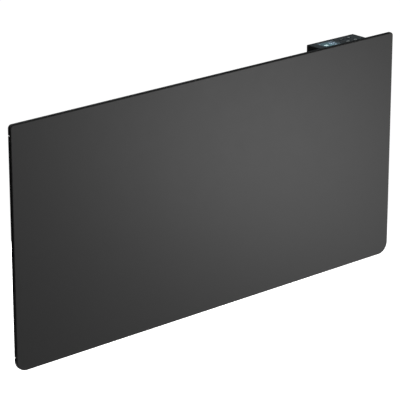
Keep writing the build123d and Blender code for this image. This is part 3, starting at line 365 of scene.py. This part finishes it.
def insulation():
    """Mineral fibre board: matted fibres with darker specks."""
    material, tree, shader = new_material("insulation", roughness=0.95, specular=0.2)
    colours(
        tree, shader, noise(tree, per_metre=420.0, detail=6.0, stretch=(1, 1, 3)),
        low=(0.62, 0.58, 0.48), high=(0.86, 0.83, 0.74), start=0.25, end=0.7,
    )
    fibres = noise(tree, per_metre=500.0, detail=7.0, stretch=(1, 1, 4))
    bumps(tree, shader, fibres, depth=400e-6, strength=0.9)
    return material


def circuit_board():
    """Green solder mask with raised tracks under it."""
    material, tree, shader = new_material("circuit_board", roughness=0.36, coat=0.25)
    tracks = add_node(tree, "TexBrick", {
        "Scale": 160.0,
        "Mortar Size": 0.06,
        "Color1": (0.014, 0.1, 0.04, 1),
        "Color2": (0.01, 0.075, 0.032, 1),
        "Mortar": (0.035, 0.17, 0.075, 1),
    })
    tree.links.new(coordinates(tree), tracks.inputs["Vector"])
    tree.links.new(tracks.outputs["Color"], shader.inputs["Base Color"])
    bumps(tree, shader, tracks.outputs["Fac"], depth=35e-6, strength=0.7)
    return material


# ---------------------------------------------------------------- finishes of the display
# the lamp behind the screen: its place from the screen's middle, how far its light reaches, and the
# share by which it is uneven
LAMP_PLACE = mm(-1.5, -1.5)
LAMP_REACH = 20 * MM
LAMP_UNEVENNESS = 0.15
SCREEN_DIM = (0.004, 0.01, 0.018)
SCREEN_BRIGHT = (0.071, 0.171, 0.19)
SCREEN_STRENGTH = 1.0
LENS_IOR = 1.49


def display_glass():
    """The clear hard-coated lens over the screen."""
    material, tree, shader = new_material("display_glass", roughness=0.04)
    shader.inputs["Transmission Weight"].default_value = 1.0
    shader.inputs["IOR"].default_value = LENS_IOR
    shader.inputs["Base Color"].default_value = (0.9, 0.96, 0.97, 1)
    bumps(tree, shader, noise(tree, per_metre=35.0, detail=2.0), depth=1e-6, strength=0.2)
    return material


def lcd():
    """The lit screen: a teal lamp behind its left half, whose light fades round it a little unevenly."""
    material, tree, shader = new_material("lcd", roughness=0.35, specular=0.3)
    colours(tree, shader, noise(tree, per_metre=60.0), low=(0.02, 0.04, 0.05), high=(0.03, 0.06, 0.07))
    middle = top_middle("lcd_module")
    lamp = (middle.x + LAMP_PLACE[0], middle.y + LAMP_PLACE[1], middle.z)
    distance = add_node(tree, "VectorMath", {1: lamp})
    distance.operation = "DISTANCE"
    tree.links.new(coordinates(tree), distance.inputs[0])
    fade = add_node(tree, "MapRange", {"From Min": LAMP_REACH, "From Max": 0.0})
    tree.links.new(distance.outputs["Value"], fade.inputs["Value"])
    uneven = add_node(tree, "Math", {1: LAMP_UNEVENNESS})
    uneven.operation = "MULTIPLY_ADD"
    tree.links.new(noise(tree, per_metre=70.0, detail=2.0), uneven.inputs[0])
    tree.links.new(fade.outputs["Result"], uneven.inputs[2])
    glowing(tree, shader, uneven.outputs["Value"], SCREEN_DIM, SCREEN_BRIGHT, SCREEN_STRENGTH)
    return material


def figure_light(name, colour, strength):
    """A lit figure or sign, with a slight mottle."""
    material, tree, shader = new_material(name, roughness=0.4)
    colours(tree, shader, noise(tree, per_metre=400.0), low=shade(colour, 0.85), high=colour)
    glowing(tree, shader, noise(tree, per_metre=200.0), shade(colour, 0.9), colour, strength)
    return material


# ---------------------------------------------------------------- every node's finish
FINISHES = (
    panel_coating, casing_coating, bracket_steel, housing_plastic, bezel_gloss, key_gloss, switch_plastic,
    gland_nylon, rubber, component_black, component_blue, component_yellow, terminal_grey, sensor_epoxy,
    lead_brown, lead_blue, mica, insulation, track_foil, reflector_foil, tinned_brass, black_steel,
    cutout_case, zinc_steel, circuit_board, display_glass, lcd,
)


def finish_nodes():
    """Give every CAD node the finish whose function is named after its material slot."""
    finishes = {make.__name__: make() for make in FINISHES}
    for subpart in frame["record"]["subparts"]:
        node = frame["nodes"][subpart["node"]]
        for slot in node.material_slots:
            slot.material = finishes[subpart["material_slot"]]
    return finishes


# ---------------------------------------------------------------- mesh helpers
SMOOTH_BELOW = radians(28)
RING_STEPS = 40


def mesh_piece(name, build, material, body):
    """A piece from a mesh that build() draws, riding on a body."""
    mesh = bpy.data.meshes.new(name)
    drawing = bmesh.new()
    build(drawing)
    bmesh.ops.recalc_face_normals(drawing, faces=drawing.faces)
    drawing.to_mesh(mesh)
    drawing.free()
    mesh.shade_smooth()
    mesh.set_sharp_from_angle(angle=SMOOTH_BELOW)
    mesh.materials.append(material)
    piece = add_object(name, mesh)
    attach(piece, body)
    return piece


def join_rows(drawing, near, far):
    """A band of faces between two closed rows of corners, of which one may be a single point."""
    count = max(len(near), len(far))
    for i in range(count):
        corners = (
            near[i % len(near)], near[(i + 1) % len(near)],
            far[(i + 1) % len(far)], far[i % len(far)],
        )
        drawing.faces.new(tuple(dict.fromkeys(corners)))


def closed_edges(drawing, row):
    """The edges round a closed row of corners."""
    pairs = [(row[i], row[(i + 1) % len(row)]) for i in range(len(row))]
    return [drawing.edges.get(pair) or drawing.edges.new(pair) for pair in pairs]


def prism(drawing, outline, low, high):
    """A flat plate with this outline, a list of (x, y), from height low to high."""
    bottom = [drawing.verts.new((x, y, low)) for x, y in outline]
    top = [drawing.verts.new((x, y, high)) for x, y in outline]
    drawing.faces.new(list(reversed(bottom)))
    drawing.faces.new(top)
    join_rows(drawing, bottom, top)


def ring(drawing, centre, outer, inner, low, high, arc=None, steps=RING_STEPS):
    """A flat ring, or the part of one between the two angles of an arc."""
    start, end = arc or (0.0, 2 * pi)
    section = ((inner, low), (outer, low), (outer, high), (inner, high))
    rows = []
    for i in range(steps + 1 if arc else steps):
        angle = start + (end - start) * i / steps
        out = Vector((cos(angle), sin(angle), 0))
        rows.append([drawing.verts.new(Vector((*centre, z)) + out * radius) for radius, z in section])
    for near, far in zip(rows, rows[1:]):
        join_rows(drawing, near, far)
    if arc:
        drawing.faces.new(rows[0])
        drawing.faces.new(list(reversed(rows[-1])))
    else:
        join_rows(drawing, rows[-1], rows[0])


def bar(centre, length, width):
    """The outline of a bar about a centre, this long along X and this wide along Y."""
    x, y = centre
    return [
        (x - length / 2, y - width / 2),
        (x + length / 2, y - width / 2),
        (x + length / 2, y + width / 2),
        (x - length / 2, y + width / 2),
    ]


def plus_outline(arm, half):
    """The outline of a plus sign about 0, with arms this long and twice half wide."""
    return [
        (half, half), (half, arm), (-half, arm), (-half, half), (-arm, half), (-arm, -half),
        (-half, -half), (-half, -arm), (half, -arm), (half, -half), (arm, -half), (arm, half),
    ]


# ---------------------------------------------------------------- the cover's screws
SCREW_STEPS = 32
SCREW_HEAD_RADIUS = 2.8 * MM
SCREW_HEAD_HEIGHT = 1.6 * MM
# the head's rounded rim: shares of its radius and of its height
SCREW_HEAD_RIM = ((1.0, 0.45), (0.95, 0.75), (0.85, 0.93))
SCREW_FLAT_RADIUS = 2.0 * MM
SCREW_RADIUS = 1.5 * MM
SCREW_CORE_RADIUS = 1.15 * MM
SCREW_PITCH = 1.1 * MM
SCREW_POINT = 1.6 * MM
RECESS_ARM = 1.45 * MM
RECESS_HALF_WIDTH = 0.32 * MM
RECESS_DEPTH = 0.95 * MM
# how much shorter the recess's arms are at its bottom, as a share
RECESS_TAPER = 0.45


def screw_profile(tip_y, head_y):
    """A pan-head screw's section from its point to the flat of its head, as (radius, y)."""
    seat_y = head_y - SCREW_HEAD_HEIGHT
    y = tip_y + SCREW_POINT
    profile = [(0, tip_y), (SCREW_CORE_RADIUS, y)]
    while y + SCREW_PITCH < seat_y:
        profile += [(SCREW_RADIUS, y + SCREW_PITCH / 2), (SCREW_CORE_RADIUS, y + SCREW_PITCH)]
        y += SCREW_PITCH
    profile += [(SCREW_CORE_RADIUS, seat_y), (SCREW_HEAD_RADIUS, seat_y)]
    for radius_share, height_share in SCREW_HEAD_RIM:
        profile.append((SCREW_HEAD_RADIUS * radius_share, seat_y + SCREW_HEAD_HEIGHT * height_share))
    return profile + [(SCREW_FLAT_RADIUS, head_y)]


def draw_screw(drawing, x, z, tip_y, head_y):
    """A cross-recessed screw along Y with its point at tip_y and the top of its head at head_y."""
    turns = [2 * pi * i / SCREW_STEPS for i in range(SCREW_STEPS)]

    def row(radius, y):
        if radius == 0:
            return [drawing.verts.new((x, y, z))]
        return [drawing.verts.new((x + radius * cos(turn), y, z + radius * sin(turn))) for turn in turns]

    def recess(share, y):
        outline = plus_outline(RECESS_ARM * share, RECESS_HALF_WIDTH)
        return [drawing.verts.new((x + a, y, z + b)) for a, b in outline]

    rows = [row(radius, y) for radius, y in screw_profile(tip_y, head_y)]
    for near, far in zip(rows, rows[1:]):
        join_rows(drawing, near, far)
    mouth = recess(1.0, head_y)
    bottom = recess(1 - RECESS_TAPER, head_y - RECESS_DEPTH)
    join_rows(drawing, mouth, bottom)
    drawing.faces.new(bottom)
    rim = closed_edges(drawing, rows[-1]) + closed_edges(drawing, mouth)
    bmesh.ops.triangle_fill(drawing, edges=rim, use_beauty=True)


def make_cover_screws(steel):
    """Cross-recessed screws at the rear cover's corners, in place of the plain ones."""
    low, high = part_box("cover_screws")

    def screws(drawing):
        for x in (low.x + SCREW_HEAD_RADIUS, high.x - SCREW_HEAD_RADIUS):
            for z in (low.z + SCREW_HEAD_RADIUS, high.z - SCREW_HEAD_RADIUS):
                draw_screw(drawing, x, z, low.y, high.y)

    piece = mesh_piece("cross_screws", screws, steel, "heater")
    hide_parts("cover_screws")


# ---------------------------------------------------------------- the gland's nut
NUT_RIBS = 20
# how deep each step round a rib and its groove is cut, as a share of the groove
NUT_RIB_STEPS = (0, 0, 0, 1, 1, 1)
NUT_GROOVE_DEPTH = 0.55 * MM
NUT_GROOVE_SLOPE = 0.5 * MM
NUT_PLAIN_END = 1.1 * MM
# where the ribs end and the dome starts, along the nut
NUT_SHOULDER = 6.0 * MM
NUT_DOME_STEPS = 10
NUT_MOUTH_RADIUS = 5.75 * MM
NUT_MOUTH_BORE = 4.3 * MM
NUT_BORE = 6.9 * MM
# the cone inside that presses on the seal, along the nut
NUT_SEAL_START = 3.0 * MM
NUT_SEAL_END = 9.6 * MM
NUT_SEAL_BORE = 4.85 * MM


def nut_profile(length, radius):
    """The domed nut's section as rows of (distance along it, radius, share of the groove's depth)."""
    fall = radius - NUT_MOUTH_RADIUS
    run = length - NUT_SHOULDER
    dome_radius = (run ** 2 + fall ** 2) / (2 * fall)
    dome_end = asin(run / dome_radius)
    rows = [
        (0, NUT_BORE, 0), (0, radius, 0), (NUT_PLAIN_END, radius, 0),
        (NUT_PLAIN_END + NUT_GROOVE_SLOPE, radius, 1), (NUT_SHOULDER - NUT_GROOVE_SLOPE, radius, 1),
    ]
    for i in range(NUT_DOME_STEPS + 1):
        turn = dome_end * i / NUT_DOME_STEPS
        rows.append((NUT_SHOULDER + dome_radius * sin(turn), radius - dome_radius * (1 - cos(turn)), 0))
    return rows + [
        (length, NUT_MOUTH_BORE, 0), (NUT_SEAL_END, NUT_MOUTH_BORE, 0),
        (NUT_SEAL_END, NUT_SEAL_BORE, 0), (NUT_SEAL_START, NUT_BORE, 0),
    ]


def make_gland_nut(nylon):
    """The gland's domed nut with the ribs that a hand grips, in place of the plain one."""
    low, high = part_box("gland_nut")
    middle = (low + high) / 2
    count = NUT_RIBS * len(NUT_RIB_STEPS)

    def nut(drawing):
        rows = []
        for along, radius, share in nut_profile(high.x - low.x, (high.y - low.y) / 2):
            row = []
            for i in range(count):
                cut = NUT_GROOVE_DEPTH * share * NUT_RIB_STEPS[i % len(NUT_RIB_STEPS)]
                turn = 2 * pi * i / count
                y, z = (radius - cut) * cos(turn), (radius - cut) * sin(turn)
                row.append(drawing.verts.new((low.x + along, middle.y + y, middle.z + z)))
            rows.append(row)
        for near, far in zip(rows, rows[1:] + rows[:1]):
            join_rows(drawing, near, far)

    piece = mesh_piece("ribbed_gland_nut", nut, nylon, "heater")
    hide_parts("gland_nut")


# ---------------------------------------------------------------- the mains rocker's marks
MARK_COLOUR = (0.62, 0.62, 0.6)
MARK_SIZE = 4.0 * MM
MARK_LINE = 0.7 * MM
MARK_THICKNESS = 0.05 * MM
# the least share of its normal that an outer face of the rocker turns out of the switch
FACES_OUT = 0.9


def on_rocker(side):
    """The turn and place of a mark in the middle of the rocker's front half (-1) or rear half (1)."""
    low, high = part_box("switch_rocker")
    middle = (low + high) / 2
    near_middle = (high.z - low.z) / 4
    faces = [
        face for face in frame["nodes"]["switch_rocker"].data.polygons
        if face.normal.x > FACES_OUT
        and (face.center.y - middle.y) * side > 0
        and abs(face.center.z - middle.z) < near_middle
    ]
    area = sum(face.area for face in faces)
    centre = sum((face.center * face.area for face in faces), Vector()) / area
    out = sum((face.normal * face.area for face in faces), Vector()).normalized()
    up = Vector((0, 0, 1))
    turn = Matrix((up.cross(out), up, out)).transposed().to_4x4()
    return Matrix.Translation(centre) @ turn


def make_rocker_marks():
    """A ring on the rocker's front half, and a line on its rear half.

    The rear half is down while the heater is on.
    """
    ink = moulded("mark_ink", MARK_COLOUR, roughness=0.5, grains=900.0, depth=2e-6)

    def off(drawing):
        ring(drawing, (0, 0), MARK_SIZE / 2, MARK_SIZE / 2 - MARK_LINE, 0, MARK_THICKNESS)
        drawing.transform(on_rocker(-1))

    def on(drawing):
        prism(drawing, bar((0, 0), MARK_LINE, MARK_SIZE), 0, MARK_THICKNESS)
        drawing.transform(on_rocker(1))

    mesh_piece("mark_off", off, ink, "rocker")
    mesh_piece("mark_on", on, ink, "rocker")


# ---------------------------------------------------------------- display
FIGURE_THICKNESS = 0.12 * MM
# a segment's width, as a share of its figure's, and the gap at each of its ends
SEGMENT_SHARE = 0.24
SEGMENT_GAP = 0.08 * MM
# the lit segments of each figure: a at the top, then clockwise to f, and g in the middle
SEGMENTS = {"1": "bc", "2": "abged", "3": "abgcd", "5": "afgcd", "8": "abcdefg"}
# every place is from the middle of the screen
LARGE_DIGITS = {"text": "21", "centre": mm(8.6, 0.0), "size": mm(3.6, 8.0), "pitch": 5.2 * MM}
SMALL_DIGITS = {"text": "1835", "centre": mm(9.6, 8.4), "size": mm(1.6, 3.2), "pitch": 2.4 * MM}
HEATING_PLACE = mm(-8.2, -2.4)
HEATING_SIZE = mm(8.0, 5.0)
HEATING_FINS = 4
# a fin's width, as a share of the distance from fin to fin
FIN_SHARE = 0.62
DEGREE_PLACE = mm(15.5, 3.6)
DEGREE_RADIUS = 0.7 * MM
DEGREE_BORE = 0.315 * MM
CLOCK_PLACE = mm(8.6, -8.8)
CLOCK_RADIUS = 1.4 * MM
CLOCK_BORE = 1.008 * MM
CLOCK_HAND_WIDTH = 0.35 * MM
CLOCK_HAND_LENGTH = 1.05 * MM
CLOCK_HAND_RISE = 0.35 * MM
LOCK_PLACE = mm(-12.8, 9.4)
LOCK_WIDTH = 2.2 * MM
LOCK_HEIGHT = 1.65 * MM
LOCK_DROP = 0.55 * MM
SHACKLE_RADIUS = 0.836 * MM
SHACKLE_BORE = 0.484 * MM
SHACKLE_RISE = 0.264 * MM
SHACKLE_STEPS = 16
ICON_COLOUR = (0.85, 1.0, 0.99)
ICON_STRENGTH = 1.4
DIGIT_COLOUR = (0.62, 0.72, 0.92)
DIM_COLOUR = (0.24, 0.25, 0.34)
DIGIT_STRENGTH = 1.2


def segment(middle, length, width, along_x):
    """A six-sided bar of a figure, pointed at both ends."""
    half, side = length / 2 - SEGMENT_GAP, width / 2
    outline = [
        (-half, 0), (side - half, -side), (half - side, -side),
        (half, 0), (half - side, side), (side - half, side),
    ]
    if not along_x:
        outline = [(-y, x) for x, y in outline]
    return [(middle[0] + x, middle[1] + y) for x, y in outline]


def draw_digit(drawing, digit, corner, size, low, high):
    """A seven-segment figure whose lower left corner is given."""
    left, bottom = corner
    width, height = size
    right, top = left + width, bottom + height
    centre = left + width / 2
    half = height / 2
    upper, lower = bottom + half * 1.5, bottom + half * 0.5
    bars = {
        "a": ((centre, top), width, True),
        "b": ((right, upper), half, False),
        "c": ((right, lower), half, False),
        "d": ((centre, bottom), width, True),
        "e": ((left, lower), half, False),
        "f": ((left, upper), half, False),
        "g": ((centre, bottom + half), width, True),
    }
    for name in SEGMENTS[digit]:
        middle, length, along_x = bars[name]
        prism(drawing, segment(middle, length, width * SEGMENT_SHARE, along_x), low, high)


def make_display():
    """The screen's lit figures: a temperature, a time and its clock, a finned heater and a lock."""
    middle = top_middle("lcd_module")
    low = middle.z
    high = low + FIGURE_THICKNESS

    def on_screen(position):
        return middle.x + position[0], middle.y + position[1]

    def digits(drawing, text, centre, size, pitch):
        x, y = on_screen(centre)
        width, height = size
        left = x - ((len(text) - 1) * pitch + width) / 2
        for i, digit in enumerate(text):
            draw_digit(drawing, digit, (left + i * pitch, y - height / 2), size, low, high)

    def heating(drawing):
        x, y = on_screen(HEATING_PLACE)
        width, height = HEATING_SIZE
        pitch = width / HEATING_FINS
        for i in range(HEATING_FINS):
            fin_x = x + (i - (HEATING_FINS - 1) / 2) * pitch
            prism(drawing, bar((fin_x, y), pitch * FIN_SHARE, height), low, high)

    def lock(drawing):
        x, y = on_screen(LOCK_PLACE)
        prism(drawing, bar((x, y - LOCK_DROP), LOCK_WIDTH, LOCK_HEIGHT), low, high)
        shackle = (x, y + SHACKLE_RISE)
        ring(drawing, shackle, SHACKLE_RADIUS, SHACKLE_BORE, low, high, (0.0, pi), SHACKLE_STEPS)

    def degree(drawing):
        ring(drawing, on_screen(DEGREE_PLACE), DEGREE_RADIUS, DEGREE_BORE, low, high)

    def clock(drawing):
        x, y = on_screen(CLOCK_PLACE)
        ring(drawing, (x, y), CLOCK_RADIUS, CLOCK_BORE, low, high)
        prism(drawing, bar((x, y + CLOCK_HAND_RISE), CLOCK_HAND_WIDTH, CLOCK_HAND_LENGTH), low, high)

    pale = figure_light("digit_light", DIGIT_COLOUR, DIGIT_STRENGTH)
    bright = figure_light("icon_light", ICON_COLOUR, ICON_STRENGTH)
    dim = figure_light("dim_light", DIM_COLOUR, DIGIT_STRENGTH)
    for name, build, light in (
        ("digits", partial(digits, **LARGE_DIGITS), pale),
        ("time", partial(digits, **SMALL_DIGITS), dim),
        ("heating", heating, bright),
        ("lock", lock, dim),
        ("degree", degree, pale),
        ("clock", clock, pale),
    ):
        mesh_piece(f"display_{name}", build, light, "heater")


# ---------------------------------------------------------------- signs on the keys
SIGN_HEIGHT = 0.06 * MM
SIGN_SIZE = 4.8 * MM
SIGN_LINE = 0.8 * MM
SIGN_FORWARD = 3.0 * MM
SIGN_RIGHT = 1.2 * MM
MENU_PITCH = 1.584 * MM
# half the gap at the top of the power mark's ring, as an angle
POWER_HALF_GAP = radians(38)
POWER_STEPS = 36
POWER_STEM_LENGTH = 2.4 * MM
POWER_STEM_RISE = 1.44 * MM
SIGN_COLOUR = (0.78, 0.85, 0.84)
SIGN_STRENGTH = 0.28


def menu_sign(drawing, x, y, low, high):
    """Three lines."""
    for row in (-1, 0, 1):
        prism(drawing, bar((x, y + row * MENU_PITCH), SIGN_SIZE, SIGN_LINE), low, high)


def power_sign(drawing, x, y, low, high):
    """A ring that is open at the top, with a stem in the gap."""
    arc = (pi / 2 + POWER_HALF_GAP, pi / 2 + 2 * pi - POWER_HALF_GAP)
    ring(drawing, (x, y), SIGN_SIZE / 2, SIGN_SIZE / 2 - SIGN_LINE, low, high, arc, POWER_STEPS)
    prism(drawing, bar((x, y + POWER_STEM_RISE), SIGN_LINE, POWER_STEM_LENGTH), low, high)


def minus_sign(drawing, x, y, low, high):
    prism(drawing, bar((x, y), SIGN_SIZE, SIGN_LINE), low, high)


def plus_sign(drawing, x, y, low, high):
    outline = plus_outline(SIGN_SIZE / 2, SIGN_LINE / 2)
    prism(drawing, [(x + a, y + b) for a, b in outline], low, high)


def make_key_signs():
    """Signs that are lit from below, each on its key."""
    light = figure_light("sign_light", SIGN_COLOUR, SIGN_STRENGTH)
    signs = {"menu": menu_sign, "power": power_sign, "minus": minus_sign, "plus": plus_sign}
    for name, draw in signs.items():
        top = top_middle(f"key_{name}")
        x, y = top.x + SIGN_RIGHT, top.y - SIGN_FORWARD
        sign = partial(draw, x=x, y=y, low=top.z, high=top.z + SIGN_HEIGHT)
        mesh_piece(f"sign_{name}", sign, light, f"key_{name}")


# ---------------------------------------------------------------- studio
WHITE = (1, 1, 1, 1)
WORLD_FILL = 0.12
FLOOR_DROP = 0.6
FLOOR_SIZE = 30.0
FLOOR_COLOUR = (0.85, 0.85, 0.85, 1)
FLOOR_GLOW = 0.93
CARD_COLOUR = (0.01, 0.01, 0.01, 1)
# name, place, the point that it is aimed at, side, watts
LIGHTS = (
    ("wide_light", (0.86, -0.91, -0.28), (0.12, -0.0587, 0.12), 0.6, 0.4),
    ("near_light", (0.79, -0.91, -0.24), (0.05, -0.0587, 0.15), 0.45, 7.4),
    ("rear_light", (0.9, 1.8, -0.2), (0.0, 0.0, 0.0), 1.2, 30.0),
)
# name, place, the point that it faces, width, height, and its glow where it isn't black
CARDS = (
    ("left_card", (-1.3, 0.6, -0.3), (-0.4, -0.05, 0.0), 3.4, 3.0),
    ("front_left_card", (-1.3, -1.0, -0.5), (-0.4, -0.05, 0.0), 1.6, 1.8),
    ("back_card", (1.3, 1.15, 0.75), (0.3, -0.04, 0.2), 1.8, 1.5, (0.14, 0.165, 0.18)),
    ("top_card", (1.1, 0.2, 1.4), (0.2, -0.05, 0.2), 2.2, 2.2),
    ("low_card", (0.7, 0.55, -0.6), (0.0, -0.05, -0.2), 1.2, 0.8),
)


def seen_directly(tree):
    """1 for the camera's own rays and for those that gloss or clear material sends on, 0 for the rest."""
    path = add_node(tree, "LightPath")
    total = path.outputs["Is Camera Ray"]
    for name in ("Is Glossy Ray", "Is Transmission Ray"):
        either = add_node(tree, "Math")
        either.operation = "MAXIMUM"
        tree.links.new(total, either.inputs[0])
        tree.links.new(path.outputs[name], either.inputs[1])
        total = either.outputs["Value"]
    return total


def make_world():
    """White where it is seen, and an even soft fill where it lights."""
    world = bpy.data.worlds.new("studio")
    world.use_nodes = True
    tree = world.node_tree
    tree.nodes.clear()
    white = add_node(tree, "Background", {"Color": WHITE})
    fill = add_node(tree, "Background", {"Color": WHITE, "Strength": WORLD_FILL})
    mix = add_node(tree, "MixShader")
    output = add_node(tree, "OutputWorld")
    tree.links.new(seen_directly(tree), mix.inputs["Fac"])
    tree.links.new(fill.outputs["Background"], mix.inputs[1])
    tree.links.new(white.outputs["Background"], mix.inputs[2])
    tree.links.new(mix.outputs["Shader"], output.inputs["Surface"])
    bpy.context.scene.world = world


def flat_board(name, width, height):
    """A rectangle in the scene, which faces up."""
    x, y = width / 2, height / 2
    mesh = bpy.data.meshes.new(name)
    mesh.from_pydata([(-x, -y, 0), (x, -y, 0), (x, y, 0), (-x, y, 0)], [], [(0, 1, 2, 3)])
    return add_object(name, mesh)


def floor_white():
    """White that is lit by the lamps, so that it keeps a shadow, and glows where it is seen."""
    material = bpy.data.materials.new("floor_white")
    material.use_nodes = True
    tree = material.node_tree
    tree.nodes.clear()
    diffuse = add_node(tree, "BsdfDiffuse", {"Color": FLOOR_COLOUR})
    glow = add_node(tree, "Emission")
    strength = add_node(tree, "Math", {1: FLOOR_GLOW})
    strength.operation = "MULTIPLY"
    tree.links.new(seen_directly(tree), strength.inputs[0])
    tree.links.new(strength.outputs["Value"], glow.inputs["Strength"])
    both = add_node(tree, "AddShader")
    output = add_node(tree, "OutputMaterial")
    tree.links.new(diffuse.outputs["BSDF"], both.inputs[0])
    tree.links.new(glow.outputs["Emission"], both.inputs[1])
    tree.links.new(both.outputs["Shader"], output.inputs["Surface"])
    return material


def make_floor():
    """A white floor under the heater."""
    floor = flat_board("floor", FLOOR_SIZE, FLOOR_SIZE)
    floor.location.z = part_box("front_panel")[0].z - FLOOR_DROP
    floor.data.materials.append(floor_white())


def aimed(position, target):
    """The rotation that points a lamp or a card at this position towards a target."""
    return (Vector(target) - Vector(position)).to_track_quat("-Z", "Y").to_euler()


def soft_light(name, position, target, side, watts):
    """A square soft box."""
    data = bpy.data.lights.new(name, "AREA")
    data.shape = "SQUARE"
    data.size = side
    data.energy = watts
    light = add_object(name, data)
    light.location = position
    light.rotation_euler = aimed(position, target)
    light.visible_camera = False


def card(name, position, target, width, height, glow=(0, 0, 0)):
    """A card beside the set that the lens doesn't see: what faces it mirrors its even tone."""
    board = flat_board(name, width, height)
    board.location = position
    board.rotation_euler = aimed(position, target)
    board.visible_camera = False
    board.visible_shadow = False
    material, _, shader = new_material(name, roughness=0.9, specular=0.0)
    shader.inputs["Base Color"].default_value = CARD_COLOUR
    shader.inputs["Emission Color"].default_value = (*glow, 1)
    shader.inputs["Emission Strength"].default_value = 1.0
    board.data.materials.append(material)


def make_studio():
    """Floor, surroundings, soft boxes and cards."""
    make_world()
    make_floor()
    for light in LIGHTS:
        soft_light(*light)
    for values in CARDS:
        card(*values)


# ---------------------------------------------------------------- the scene
make_camera()
finishes = finish_nodes()
make_cover_screws(finishes["black_steel"])
make_gland_nut(finishes["gland_nylon"])
make_rocker_marks()
make_display()
make_key_signs()
make_studio()
bpy.context.scene.view_settings.view_transform = "Standard"

bpy.context.view_layer.update()
